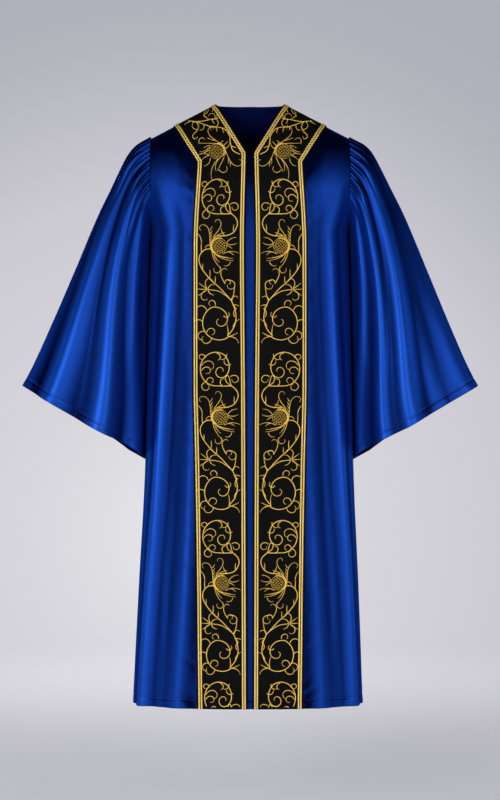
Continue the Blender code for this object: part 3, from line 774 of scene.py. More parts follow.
class Strokes:
    """Raised strokes that are joined into one mesh."""

    def __init__(self):
        self.points = []
        self.cells = []
        self.places = []
        self.count = 0

    def add(self, path, normals, widths, heights, sink, sides, turn_per_metre=0.0, lobes=0.0):
        """One stroke: a round or lobed section carried along a path that lies on a surface."""
        run = lengths_along(path)
        aside = unit(np.cross(unit(np.gradient(path, axis=0)), normals))
        around = np.linspace(0, 2 * math.pi, sides, endpoint=False)
        twist = run[:, None] * turn_per_metre * 2 * math.pi
        radius = 1 + lobes * np.cos(2 * (around[None, :] + twist))
        sideways = radius * np.cos(around)[None, :] * widths[:, None] / 2
        upward = (radius * np.sin(around)[None, :] + 1) * heights[:, None] / 2 - sink
        ring = path[:, None] + aside[:, None] * sideways[..., None] + normals[:, None] * upward[..., None]
        count = len(path)
        index = self.count + np.arange(count * sides).reshape(count, sides)
        following = np.roll(index, -1, axis=1)
        cells = np.stack((index[:-1], index[1:], following[1:], following[:-1]), axis=-1).reshape(-1, 4)
        self.cells.append(cells[:, ::-1])
        share = np.broadcast_to(np.arange(sides) / sides, (count, sides))
        places = np.stack((share * THREAD_ROUND, np.broadcast_to(run[:, None], (count, sides))), axis=-1)
        self.places.append(places.reshape(-1, 2))
        self.points.append(ring.reshape(-1, 3))
        self.count += count * sides
        self.cap(index[0])
        self.cap(index[-1][::-1])

    def cap(self, ring):
        """Closes an end with quads across its ring."""
        for i in range(len(ring) // 2 - 1):
            self.cells.append(np.array([[ring[i], ring[i + 1], ring[-2 - i], ring[-1 - i]]]))

    def mesh(self, name):
        return quad_mesh(name, *(np.concatenate(part) for part in (self.points, self.cells, self.places)))


def even_steps(path, normals, step):
    """A path with its normals at even steps, and how far along it each step is."""
    run = lengths_along(path)
    count = max(2, int(round(run[-1] / step)) + 1)
    at = np.linspace(0, run[-1], count)
    points, facing = [
        np.stack([np.interp(at, run, values[:, i]) for i in range(3)], axis=1) for values in (path, normals)
    ]
    return points, unit(facing), at


ROPE_STEP = 0.0012
ROPE_WIDTH = 0.0034
ROPE_HEIGHT = 0.0019
ROPE_SIDES = 8
ROPE_LOBES = 0.08
ROPE_SINK = 0.0002
ROPE_TURNS_PER_METRE = 140
CHAIN_PITCH = 0.0074
CHAIN_SWAY = 0.00070
CHAIN_FADE = 0.02  # below the band's corner the cords run side by side

# Small steps that give the slope of a surface
SHARE_NUDGE = 0.004
ACROSS_NUDGE = 0.01
LEVEL_NUDGE = 0.5
PLACE_NUDGE = 0.0008


def add_rope(strokes, path, normals, sway_sign):
    """One cord of a braid. It sways towards and away from its neighbour, so the two look linked."""
    points, facing, at = even_steps(path, normals, ROPE_STEP)
    aside = np.cross(unit(np.gradient(points, axis=0)), facing)
    linked = ease((points[:, 2] - BAND_CORNER_Z + CHAIN_FADE) / CHAIN_FADE)
    sway = sway_sign * CHAIN_SWAY * np.cos(2 * math.pi * at / CHAIN_PITCH) * linked
    points = points + aside * sway[:, None]
    widths = np.full(len(points), ROPE_WIDTH)
    heights = np.full(len(points), ROPE_HEIGHT)
    strokes.add(points, facing, widths, heights, ROPE_SINK, ROPE_SIDES, ROPE_TURNS_PER_METRE, ROPE_LOBES)


def band_rope_path(side, from_inner, distance):
    """A path down a front band at a distance from its inner or outer edge, with the band's normals."""
    levels = skirt_levels()
    share = distance / band_width(levels)
    share = share if from_inner else 1 - share
    here = front_point(side, share, levels)
    beside = front_point(side, share + SHARE_NUDGE, levels)
    below = np.gradient(here, axis=0)
    normals = unit(np.cross(beside - here, below) * (1 if side == RIGHT else -1))
    normals[0] = normals[1]
    return here + (SEAM + BAND_WALL) * normals, normals


def make_front_braids(materials):
    made = {}
    for side, word in SIDE_WORDS.items():
        for from_inner, place in ((True, "inner"), (False, "outer")):
            strokes = Strokes()
            for distance, sign in zip(ROPE_PLACES, (1, -1)):
                path, normals = band_rope_path(side, from_inner, distance)
                add_rope(strokes, path, normals, sign)
            braid = strokes.mesh(f"braid_cords_{place}_{word}")
            dress(braid, materials["gold"], f"braid_{place}_{word}")
            made[side, place] = braid
    return made


# The braids on the back: levels searched for a distance, and steps along each stretch
NECK_LEVELS = np.linspace(0, 40, 161)
FOOT_LEVELS = np.linspace(BACK_BAND_TURN, 0, 161)
LEAST_LEVEL = 0.3
NECK_TURN_STEPS = 9
NECK_STEPS = 25
OUTER_SIDE_STEPS = 40
OUTER_FOOT_STEPS = 60


def back_surface(across, level):
    """A point of the whole back: across runs from -3 at the wearer's right armhole to 3 at the left."""
    left = back_point(LEFT, np.abs(across), level)
    right = back_point(RIGHT, np.abs(across), level)
    return np.where((across >= 0)[..., None], left, right)


def back_normals(across, level):
    here = back_surface(across, level)
    beside = back_surface(across + ACROSS_NUDGE, level)
    below = back_surface(across, level + LEVEL_NUDGE)
    return unit(np.cross(beside - here, below - here))


def level_after(levels, across, distance):
    """The level where a line down or up the back has run a distance from the first of the levels."""
    line = back_surface(np.full(levels.shape, across), levels)
    return float(np.interp(distance, lengths_along(line), levels))


def both_sides(half):
    """The places of one half, then the same ones mirrored, from the middle to the other shoulder."""
    half = np.array(half)
    return np.concatenate((half, half[-2::-1] * np.array((-1, 1))))


def neck_rope_places(distance):
    """Across and level of a cord that follows the back neckline from one shoulder seam to the other."""
    seam_width = np.hypot(shoulder_width(BAND_TOP_Z) - NECK_HALF, BAND_TOP_Z)
    half = []
    for quarter in np.linspace(0, math.pi / 2, NECK_TURN_STEPS):
        across = 1 + distance * math.cos(quarter) / seam_width
        half.append((across, level_after(NECK_LEVELS, across, distance * math.sin(quarter))))
    for across in np.linspace(1, 0, NECK_STEPS)[1:]:
        half.append((across, level_after(NECK_LEVELS, across, distance)))
    return both_sides(half)


def outer_rope_places(distance):
    """Across and level of a cord just inside the outer and lower edges of the band on the back."""
    half = []
    for level in np.linspace(0, BACK_BAND_TURN, OUTER_SIDE_STEPS):
        width = np.linalg.norm(back_point(LEFT, 2.0, level) - back_point(LEFT, 1.0, level))
        across = 2 - distance / width
        if level > level_after(FOOT_LEVELS, across, distance):
            break
        half.append((across, level))
    for across in np.linspace(half[-1][0], 0, OUTER_FOOT_STEPS)[1:]:
        half.append((across, level_after(FOOT_LEVELS, across, distance)))
    return both_sides(half)


def make_back_braids(materials):
    made = []
    for places_of, word in ((neck_rope_places, "back_neck"), (outer_rope_places, "back_outer")):
        strokes = Strokes()
        for distance, sign in zip(ROPE_PLACES, (1, -1)):
            places = places_of(distance)
            normals = back_normals(places[:, 0], np.maximum(places[:, 1], LEAST_LEVEL))
            path = back_surface(places[:, 0], places[:, 1]) + (SEAM + BAND_WALL) * normals
            add_rope(strokes, path, normals, sign)
        braid = strokes.mesh("braid_cords_" + word)
        dress(braid, materials["gold"], "braid_" + word)
        made.append(braid)
    return made


# The embroidery: scrolls drawn by arcs and curls, in millimetres. u runs outward from the band's inner edge
# and w runs up from the top of each repeat. A heading is 0 outward and 90 up, and a positive turn bends
# anticlockwise.

STROKE_STEP = 2.0
STEM_WIDTH = 1.95
CURL_WIDTH = 1.6
PLUME_WIDTH = 1.4
FINE_WIDTH = 0.7
REPEAT_TOPS = (-0.166, -0.553, -0.930, -1.292)
REPEAT_HEIGHTS = (1.0, 0.98, 0.94, 0.94)  # each repeat is drawn a little shorter
FLOWER_AT = (59, -149)
COIL_WINDS = 2.6  # how soon an oval winds inward
CRESCENT_LINES = ((17.6, 2.8, 0.0), (20.2, 2.0, 10.4))  # radius, width, and how much shorter each end is
DISC_RINGS = (12.2, 16.4)
SPOKE_RADII = (12.6, 14.4, 16.0)
SPOKE_TURN = 24
SPOKE_LEAN = 0.14
LATTICE_RADIUS = 11.4
LATTICE_OFFSETS = (-7.8, -2.6, 2.6, 7.8)
LATTICE_SLANTS = (38, 128)
LATTICE_WIDTH = FINE_WIDTH * 0.9


def curl(u, w, heading, length, turn, lateness):
    """A stroke that leaves a point at a heading and bends more and more towards its end."""
    steps = max(5, round(length / STROKE_STEP))
    share = (np.arange(steps) + 0.5) / steps
    angle = np.radians(heading + turn * share ** lateness)
    moves = np.stack((np.cos(angle), np.sin(angle)), axis=1) * length / steps
    return np.concatenate((np.zeros((1, 2)), np.cumsum(moves, axis=0))) + np.array((u, w))


def stem(*points):
    """A smooth stroke through a few guide points."""
    points = np.array(points, dtype=float)
    ends = np.concatenate((2 * points[:1] - points[1:2], points, 2 * points[-1:] - points[-2:-1]))
    line = []
    for a, b, c, d in zip(ends, ends[1:], ends[2:], ends[3:]):
        steps = max(2, round(np.linalg.norm(c - b) / STROKE_STEP))
        for t in np.arange(steps) / steps:
            bend = (2 * a - 5 * b + 4 * c - d) * t * t + (3 * b - 3 * c + d - a) * t ** 3
            line.append(0.5 * (2 * b + (c - a) * t + bend))
    line.append(points[-1])
    return np.array(line)


def coil(centre, radii, start, end, inner_centre, inner_radius, hold_until):
    """An oval round that winds into a small spiral."""
    mean = (radii[0] + inner_radius) / 2
    steps = round(math.radians(end - start) * mean / STROKE_STEP)
    angle = np.linspace(start, end, steps)
    inward = 1 - (1 - np.clip((angle - hold_until) / (end - hold_until), 0, 1)) ** COIL_WINDS
    round_it = (np.cos(np.radians(angle)), np.sin(np.radians(angle)))
    line = []
    for i in (0, 1):
        radius = mix(radii[i], inner_radius, inward)
        line.append(mix(centre[i], inner_centre[i], inward) + radius * round_it[i])
    return np.stack(line, axis=1)


# The C-scroll and the ring: centre, radii, first and last angle, the spiral's centre and radius, and the
# angle where it starts to wind in
COILS = (
    ((68, -38.5), (34.5, 38.5), -90, 585, (56, -41), 4.5, 125),
    ((60, -321), (37, 38.5), 232, 800, (60, -318), 5, 425),
)
SCROLL_FOOT = ((34, -77), (50, -77.5), (68, -77))
# Curls of one repeat: where each starts, its heading, length, turn, and how late it bends
SCROLL_CURLS = (
    (91, -13, 82, 32, -285, 1.3),
    (100, -31, 122, 50, 225, 1.5),
    (100, -42, 118, 42, 270, 1.4),
    (89, -68, 92, 33, 255, 1.3),
    (66, -2, 196, 23, 155, 1.3),
    (44, -4, 262, 26, 150, 1.2),
    (34, -27, 322, 24, 150, 1.2),
    (53, -77, 30, 29, 200, 1.2),
    (36, -56, 142, 48, 320, 1.3),
    (90, -68, -12, 52, -340, 1.2),
)
SCROLL_LOOP = ((34, -77), (44, -69), (47, -59), (42, -53), (38, -60), (36, -70), (33, -78))
S_CURVE = ((33, -77), (22, -88), (19, -102), (28, -119), (45, -126), (64, -126))
S_CURVE_LEAVES = (
    (27, -118, 78, 17, 25, 1.0),
    (48, -125, 40, 18, 50, 1.0),
)
VINE = ((77, -155), (93, -158), (104, -173), (101, -194), (82, -221), (57, -244), (32, -272))
VINE_CURLS = (
    (97, -203, 96, 15, -8, 1.0),
    (81, -221, 100, 19, -18, 1.0),
    (69, -231, 100, 14, -14, 1.0),
    (99, -163, 84, 26, 12, 1.0),
    (99, -140, 80, 26, -60, 1.6),
    (32, -272, 112, 40, -22, 1.0),
    (46, -234, 60, 48, 190, 3.0),
    (47, -232, 98, 27, 250, 1.3),
    (40, -226, 172, 50, 290, 1.3),
    (33, -271, 105, 22, 145, 1.6),
)
SPRIG_STEM = ((33, -270), (45, -260), (62, -250), (86, -246))
SPRIG_RAYS = (
    (87, -245, 34, 22, 6, 1.0),
    (88, -246, 0, 20, 6, 1.0),
    (87, -247, -35, 24, 4, 1.0),
    (87, -244, 62, 36, 190, 1.8),
    (88, -248, -22, 40, -220, 1.6),
    (85, -246, 105, 20, 90, 1.3),
    (85, -246, 258, 20, -80, 1.3),
)
RING_STEM = ((32, -272), (25, -290), (22, -311), (28, -333), (42, -351))
RING_CURLS = (
    (68, -282, 96, 33, -250, 1.3),
    (88, -293, 75, 40, -205, 1.2),
    (97, -318, 45, 34, -190, 1.2),
    (91, -341, 20, 38, -215, 1.2),
    (77, -356, 285, 40, 215, 1.3),
    (88, -343, 102, 38, 255, 1.3),
    (50, -305, 240, 24, -205, 1.1),
    (30, -282, 160, 16, 55, 1.0),
    (25, -308, 60, 23, 100, 1.2),
    (29, -331, 100, 24, 60, 1.0),
    (41, -352, 100, 28, -28, 1.0),
    (41, -352, 172, 24, -28, 1.0),
    (40, -352, 178, 30, 85, 1.4),
    (24, -296, 110, 14, -60, 1.0),
)
# Plumes of a flower, from its middle
PLUMES = (
    (14, 20, 128, 58, -245, 3.6),
    (14, 17, 138, 30, 30, 1.0),
    (21, 4, 88, 70, -250, 3.4),
    (17, -9, 266, 46, -44, 1.0),
    (-1, -46, 240, 34, 240, 1.2),
    (15, -14, 222, 52, -40, 1.0),
    (-25, -35, 280, 20, 110, 1.2),
    (4, -21, 200, 36, -18, 1.0),
    (9, -17, 212, 30, -30, 1.0),
    (-8, -18, 150, 38, 62, 1.2),
    (-18, -13, 186, 16, 44, 1.0),
    (-16, 5, 112, 28, 72, 1.0),
    (-17, 5, 206, 24, -60, 1.0),
    (-17, 1, 200, 14, 22, 1.0),
    (20, 2, 12, 18, -110, 1.2),
    (12, -19, 250, 22, -30, 1.0),
)
PLUME_BARBS = tuple((22, w, 135, 10, -28, 1.0) for w in (11, 19, 27, 36))
CRESCENT = (-62, 118)

# The motif on the shoulder part of the band: u and w are millimetres out from the robe's middle and up from
# the neck point
SHOULDER_FLOWER_AT = (75, -104)
SHOULDER_PLUMES = (
    (-5, 20, 34, 58, 250, 3.2),
    (2, 24, 12, 20, 14, 1.0),
    (-7, 17, 4, 47, -4, 1.0),
    (38, 18, 62, 25, 190, 1.2),
    (14, 14, -12, 16, -20, 1.0),
    (15, 11, -55, 27, 56, 1.0),
    (18, 3, -42, 30, 48, 1.0),
    (16, -7, 12, 13, 0, 1.0),
    (16, -9, -6, 21, -52, 1.0),
    (14, -15, -96, 25, 92, 1.0),
    (-11, -12, -34, 60, -76, 1.2),
    (-8, -14, -42, 33, -68, 1.2),
    (-17, -13, -66, 36, 5, 1.0),
    (-6, -41, -120, 31, -195, 1.2),
    (-20, 2, -112, 70, -250, 3.2),
    (-27, -13, -84, 15, -10, 1.0),
    (-31, -22, -88, 12, -6, 1.0),
    (-16, 6, 182, 21, -98, 1.0),
    (-14, 10, 132, 17, 0, 1.0),
    (-9, 19, 138, 8, 0, 1.0),
)
SHOULDER_CRESCENT = (92, 222)
SHOULDER_STEMS = (
    ((22, -111), (38, -102), (44, -84), (46, -69), (60, -53), (90, -48), (120, -37), (138, -34)),
    ((120, -37), (115, -47), (118, -57), (127, -66)),
    ((128, -37), (107, -36), (90, -33), (73, -31)),
)
SHOULDER_CURLS = (
    (43, -92, 196, 13, 8, 1.0),
    (90, -48, -100, 9, -12, 1.0),
    (78, -48, -128, 14, 40, 1.0),
    (62, -53, -112, 11, 12, 1.0),
    (103, -46, -100, 17, 120, 1.2),
    (134, -35, -22, 15, -12, 1.0),
    (127, -66, -60, 20, -215, 1.2),
    (117, -55, 2, 34, 205, 1.3),
    (78, -31, 106, 28, -200, 1.2),
    (77, -32, 206, 31, 210, 1.2),
    (84, -33, -96, 11, -40, 1.0),
    (92, -31, 22, 26, 140, 1.6),
    (102, -27, 60, 14, 140, 1.2),
    (93, -9, -96, 12, 66, 1.0),
    (82, -10, -70, 7, 0, 1.0),
    (75, -25, 172, 6, 0, 1.0),
    (76, -29, 188, 6, 0, 1.0),
)


def circle(radius, degrees):
    angle = np.radians(degrees)
    return radius * np.stack((np.cos(angle), np.sin(angle)), axis=1)


def flower(centre, plumes, crescent):
    """Strokes of a flower: a lattice disc, two rings with spokes, a thick crescent and its plumes."""
    middle = np.array(centre, dtype=float)
    strokes = [(curl(*row) + middle, PLUME_WIDTH, True) for row in plumes]
    for radius, width, shorter in CRESCENT_LINES:
        turns = np.arange(crescent[0] + shorter, crescent[1] - shorter, 6)
        strokes.append((middle + circle(radius, turns), width, True))
    for radius in DISC_RINGS:
        strokes.append((middle + circle(radius, np.arange(0, 361, 8)), FINE_WIDTH, False))
    for spoke in np.radians(np.arange(0, 360, SPOKE_TURN)):
        ends = np.array([[np.cos(spoke) * r, np.sin(spoke + SPOKE_LEAN) * r] for r in SPOKE_RADII])
        strokes.append((middle + ends, FINE_WIDTH, False))
    for offset in LATTICE_OFFSETS:
        reach = math.sqrt(LATTICE_RADIUS ** 2 - offset ** 2)
        along = np.linspace(-reach, reach, 8)
        for slant in LATTICE_SLANTS:
            forward = np.array((math.cos(math.radians(slant)), math.sin(math.radians(slant))))
            aside = np.array((-forward[1], forward[0]))
            strokes.append((middle + along[:, None] * forward + offset * aside, LATTICE_WIDTH, False))
    return strokes


def repeat_strokes():
    """One repeat of the scrollwork: the C-scroll, the flower, the vine with its sprig and the ring."""
    strokes = [(coil(*row), STEM_WIDTH, True) for row in COILS]
    strokes += [(stem(*points), STEM_WIDTH, False) for points in (SCROLL_FOOT, S_CURVE, VINE, RING_STEM)]
    strokes += [(stem(*points), CURL_WIDTH, False) for points in (SCROLL_LOOP, SPRIG_STEM)]
    for rows in (SCROLL_CURLS, S_CURVE_LEAVES, VINE_CURLS, SPRIG_RAYS, RING_CURLS):
        strokes += [(curl(*row), CURL_WIDTH, True) for row in rows]
    strokes += flower(FLOWER_AT, PLUMES + PLUME_BARBS, CRESCENT)
    return strokes


def shoulder_strokes():
    strokes = [(stem(*points), STEM_WIDTH, False) for points in SHOULDER_STEMS]
    strokes += [(curl(*row), CURL_WIDTH, True) for row in SHOULDER_CURLS]
    strokes += flower(SHOULDER_FLOWER_AT, SHOULDER_PLUMES, SHOULDER_CRESCENT)
    return strokes


THREAD_HEIGHT = 0.0011
THREAD_SINK = 0.0003
THREAD_SIDES = 8
FINE_SIDES = 6
HEIGHT_TO_WIDTH = 0.55
HEM_MARGIN = 0.004  # no thread is nearer to the hem
TIP_SHARE = 0.55  # a tip's width, as a share of the stroke's
TAPERS_FROM = 0.35
WIDEST_BAND = 0.117  # the width of the band that the tables are drawn for


def band_surface(side, x, z):
    """Points on the outer face of a front band and its normals, from where they lie in a front view."""

    def on_cloth(x, z):
        return body_point(FRONT, side, angle_at(FRONT, side, x, z), z)

    across = on_cloth(x + PLACE_NUDGE, z) - on_cloth(x - PLACE_NUDGE, z)
    up = on_cloth(x, z + PLACE_NUDGE) - on_cloth(x, z - PLACE_NUDGE)
    normals = unit(np.cross(across, up) * (1 if side == LEFT else -1))
    return on_cloth(x, z) + (SEAM + BAND_WALL) * normals, normals


def as_seen(x, z):
    """Places on the robe's front for places in the picture's plane through the robe's middle."""
    nearer = 1 + body_depth(FRONT, z) / CAMERA_AT[1]
    return x * nearer, CAMERA_AT[2] + (z - CAMERA_AT[2]) * nearer


def add_thread(strokes, side, x, z, width, tapers):
    """One embroidered stroke on a front band, cut off at the hem. Its width is in millimetres."""
    x, z = as_seen(x, z)
    inside = z > HEM_Z + HEM_MARGIN
    first = int(np.argmax(inside))
    last = first + int(np.argmin(np.append(inside[first:], False)))
    x, z = x[first:last], z[first:last]
    if len(x) < 3:
        return
    path, normals = band_surface(side, x, z)
    widths = np.full(len(x), width / 1000)
    if tapers:
        share = np.linspace(0, 1, len(x))
        widths = widths * mix(1.0, TIP_SHARE, ease((share - TAPERS_FROM) / (1 - TAPERS_FROM)))
    heights = np.minimum(THREAD_HEIGHT, widths * HEIGHT_TO_WIDTH)
    sides = FINE_SIDES if width < CURL_WIDTH else THREAD_SIDES
    strokes.add(path, normals, widths, heights + THREAD_SINK, THREAD_SINK, sides)


def make_embroidery(materials):
    made = {}
    for side, word in SIDE_WORDS.items():
        strokes = Strokes()
        for line, width, tapers in shoulder_strokes():
            add_thread(strokes, side, line[:, 0] / 1000, line[:, 1] / 1000, width, tapers)
        for top, drawn in zip(REPEAT_TOPS, REPEAT_HEIGHTS):
            for line, width, tapers in repeat_strokes():
                z = top + drawn * line[:, 1] / 1000
                fitted = (band_edge_x(z) - opening_x(z)) / WIDEST_BAND
                add_thread(strokes, side, opening_x(z) + fitted * line[:, 0] / 1000, z, width, tapers)
        piece = strokes.mesh("embroidery_" + word)
        dress(piece, materials["thread"], None)
        made[side] = piece
    return made


STITCH_STEP = 0.0009
STITCH_POINTS = 4
STITCH_WIDTH = 0.0007
STITCH_HEIGHT = 0.0005
STITCH_SINK = 0.0001
STITCH_SIDES = 5
# The stitched line, and a row to each side of it for its slope
STITCH_ROWS = np.array((0.002, 0.0, -0.002))[:, None]
FRONT_STITCHES = np.linspace(1.02, 1.98, 120)[None, :]
BACK_STITCHES = np.linspace(0.0, 2.98, 160)[None, :]


def stitch_row(strokes, rows, closed=False, flip=False):
    """Short stitches along the middle one of three close rows of a sheet."""
    normals = grid_normals(rows, closed, flip)[1]
    points, facing, _ = even_steps(rows[1], normals, STITCH_STEP)
    widths = np.full(STITCH_POINTS, STITCH_WIDTH)
    heights = np.full(STITCH_POINTS, STITCH_HEIGHT)
    for start in range(0, len(points) - STITCH_POINTS, STITCH_POINTS + 1):
        part = slice(start, start + STITCH_POINTS)
        strokes.add(points[part], facing[part], widths, heights, STITCH_SINK, STITCH_SIDES)


def make_stitches(materials):
    """The thread that holds the turned-up hems."""
    levels = HEM_LEVEL - 1000 * (HEM_TURN_UP + STITCH_ROWS)
    alongs = 1 - (HEM_TURN_UP + STITCH_ROWS) / SLEEVE_RUN[-1]
    skirt = Strokes()
    cuffs = Strokes()
    for side in (LEFT, RIGHT):
        flip = side == LEFT
        stitch_row(skirt, front_point(side, FRONT_STITCHES, levels), flip=flip)
        stitch_row(skirt, back_point(side, BACK_STITCHES, levels), flip=flip)
        stitch_row(cuffs, sleeve_point(side, sleeve_turns(), alongs), closed=True, flip=not flip)
    for name, strokes in (("stitches_hem", skirt), ("stitches_cuffs", cuffs)):
        dress(strokes.mesh(name), materials["stitch"], None)


# Materials

class Nodes:
    """Builds the node tree of one material."""

    def __init__(self, name):
        self.material = bpy.data.materials.new(name)
        self.material.use_nodes = True
        self.tree = self.material.node_tree
        self.shader = self.tree.nodes["Principled BSDF"]

    def add(self, kind, settings=None, **inputs):
        """A node with its settings and inputs. An input's spaces are written as underscores."""
        node = self.tree.nodes.new(kind)
        for key, value in (settings or {}).items():
            setattr(node, key, value)
        self.set_all(node, inputs)
        return node

    def set(self, node, key, value):
        if isinstance(value, bpy.types.NodeSocket):
            self.tree.links.new(value, node.inputs[key])
        else:
            node.inputs[key].default_value = value

    def set_all(self, node, inputs):
        for key, value in inputs.items():
            self.set(node, key.replace("_", " "), value)

    def cloth_places(self, scale):
        """The place on the cloth in metres, scaled."""
        place = self.add("ShaderNodeUVMap", {"uv_map": "cloth"})
        return self.add("ShaderNodeMapping", Vector=place.outputs["UV"], Scale=scale).outputs["Vector"]

    def noise(self, scale, detail=2.0, rough=0.5):
        place = self.cloth_places(scale)
        node = self.add("ShaderNodeTexNoise", Vector=place, Scale=1.0, Detail=detail, Roughness=rough)
        return node.outputs["Fac"]

    def ramp(self, value, stops):
        node = self.add("ShaderNodeValToRGB", Fac=value)
        elements = node.color_ramp.elements
        while len(elements) < len(stops):
            elements.new(0.5)
        for element, (position, colour) in zip(elements, stops):
            element.position = position
            element.color = (*colour, 1.0)
        return node.outputs["Color"]

    def span(self, value, low, high):
        return self.add("ShaderNodeMapRange", Value=value, To_Min=low, To_Max=high).outputs["Result"]

    def combine(self, operation, first, second, kind="ShaderNodeMath"):
        node = self.add(kind, {"operation": operation})
        self.set(node, 0, first)
        self.set(node, 1, second)
        return node.outputs["Value"]

    def bump(self, height, strength, distance, before=None):
        node = self.add("ShaderNodeBump", Height=height, Strength=strength, Distance=distance)
        if before is not None:
            self.set(node, "Normal", before)
        return node.outputs["Normal"]

    def finish(self, **inputs):
        self.set_all(self.shader, inputs)
        return self.material


# Colours of each cloth, and where each lies on its ramp
# The velvet's ramp runs from painted shade in hollows to painted highlight on crests
VELVET_SHADE_TO_HIGHLIGHT = (
    (0.05, (0.0006, 0.0022, 0.022)),
    (0.32, (0.0036, 0.022, 0.165)),
    (0.60, (0.0070, 0.046, 0.31)),
    (0.95, (0.0108, 0.069, 0.42)),
)
BLUE_THREAD_COLOURS = ((0.3, (0.006, 0.030, 0.22)), (0.7, (0.012, 0.060, 0.42)))
# The wrong side is dull, and darker as painted shade for the unlit inside of the robe
WRONG_SIDE_PAINTED_SHADE = ((0.3, (0.0006, 0.0026, 0.030)), (0.7, (0.0010, 0.0044, 0.048)))
BLACK_COLOURS = ((0.3, (0.0018, 0.0018, 0.0021)), (0.75, (0.0036, 0.0034, 0.0038)))
CORD_BRONZE = (0.62, 0.36, 0.07)
CORD_BRIGHT = (1.0, 0.76, 0.20)
THREAD_BRONZE = (0.82, 0.44, 0.05)
THREAD_BRIGHT = (1.0, 0.72, 0.12)
SPECKLE = 0.13
STREAKS = 0.12
TARNISH = (-0.35, 0.25)


def blue_velvet():
    """Satin velvet: deep blue, with painted highlight on fold crests and painted shade in hollows and where
    it faces up, random streaks, and a broad coloured shine.
    """
    build = Nodes("blue_satin_velvet")
    nap_streaks = build.noise((38, 2.6, 1), 3.0, 0.55)
    cloudy = build.noise((7, 3, 1), 2.0, 0.5)
    pile = build.noise((1500, 900, 1), 2.0, 0.6)
    # the painted highlight and shade of the folds
    painted_light = build.add("ShaderNodeAttribute", {"attribute_name": "painted_light"}).outputs["Fac"]
    speckle = build.span(build.noise((430, 380, 1), 1.0, 0.5), -SPECKLE, SPECKLE)
    streaks = build.span(nap_streaks, -STREAKS, STREAKS)
    # painted light, plus random streaks and speckle of the nap
    shine = build.combine("ADD", painted_light, build.combine("ADD", streaks, speckle))
    normal = build.bump(nap_streaks, 0.22, 0.0016)
    return build.finish(
        Base_Color=build.ramp(shine, VELVET_SHADE_TO_HIGHLIGHT),
        Roughness=build.span(cloudy, 0.45, 0.53),
        Metallic=0.75,
        Specular_IOR_Level=0.03,
        Specular_Tint=(0.03, 0.15, 0.90, 1.0),
        Sheen_Weight=0.10,
        Sheen_Roughness=0.35,
        Sheen_Tint=(0.06, 0.22, 1.0, 1.0),
        Normal=build.bump(pile, 0.16, 0.0002, normal),
    )


def blue_thread():
    build = Nodes("blue_sewing_thread")
    twist = build.noise((900, 900, 1), 1.0, 0.5)
    return build.finish(
        Base_Color=build.ramp(twist, BLUE_THREAD_COLOURS),
        Roughness=build.span(twist, 0.40, 0.55),
        Normal=build.bump(twist, 0.3, 0.0002),
    )


def blue_wrong_side_painted_shade():
    """The knitted back of the velvet: dull, and darker as painted shade for the unlit inside of the robe.
    """
    build = Nodes("blue_wrong_side_painted_shade")
    knit = build.noise((1300, 700, 1), 2.0, 0.6)
    return build.finish(
        Base_Color=build.ramp(knit, WRONG_SIDE_PAINTED_SHADE),
        Roughness=0.8,
        Specular_IOR_Level=0.03,
        Normal=build.bump(knit, 0.2, 0.0002),
    )


def black_band():
    """Close black cloth with a fine rib and a soft grey bloom."""
    build = Nodes("black_band_cloth")
    place = build.cloth_places((900, 900, 1))
    rib = build.add("ShaderNodeTexWave", {"bands_direction": "Y"}, Vector=place, Scale=1.0).outputs["Fac"]
    cloudy = build.noise((40, 40, 1), 3.0, 0.6)
    return build.finish(
        Base_Color=build.ramp(cloudy, BLACK_COLOURS),
        Roughness=build.span(cloudy, 0.60, 0.72),
        Specular_IOR_Level=0.05,
        Sheen_Weight=0.008,
        Sheen_Roughness=0.45,
        Sheen_Tint=(0.75, 0.75, 0.85, 1.0),
        Normal=build.bump(rib, 0.10, 0.0002),
    )


def gold(name, strands_per_metre, bronze, bright, rough_low, rough_high):
    """Metallic gold thread wound round a core: bright ridges, bronze between the strands."""
    build = Nodes(name)
    strands = build.add(
        "ShaderNodeTexWave",
        {"bands_direction": "DIAGONAL"},
        Vector=build.cloth_places((strands_per_metre, strands_per_metre, 1)),
        Scale=1.0,
        Distortion=0.6,
        Detail=1.0,
    ).outputs["Fac"]
    worn = build.noise((60, 60, 1), 3.0, 0.6)
    tarnish = build.span(build.noise((5, 5, 1), 2.0, 0.6), *TARNISH)
    return build.finish(
        Base_Color=build.ramp(build.combine("ADD", strands, tarnish), ((0.05, bronze), (0.75, bright))),
        Roughness=build.span(worn, rough_low, rough_high),
        Metallic=0.20,
        Normal=build.bump(strands, 0.5, 0.0003),
    )


def make_materials():
    return {
        "blue": blue_velvet(),
        "blue_inside": blue_wrong_side_painted_shade(),
        "stitch": blue_thread(),
        "black": black_band(),
        "gold": gold("gold_braid_cord", 420, CORD_BRONZE, CORD_BRIGHT, 0.28, 0.40),
        "thread": gold("gold_embroidery_thread", 520, THREAD_BRONZE, THREAD_BRIGHT, 0.26, 0.38),
    }


# The studio

FLOOR_Z = -1.62
FLOOR_RADIUS = 3.6
DOME_RADIUS = 14.0
PHOTO_HEIGHT = 1.792  # what the picture spans at the robe's middle
SENSOR = 36
CAMERA_SEES = 100
ROBE_MIDDLE = (0.0, 0.0, -0.6)
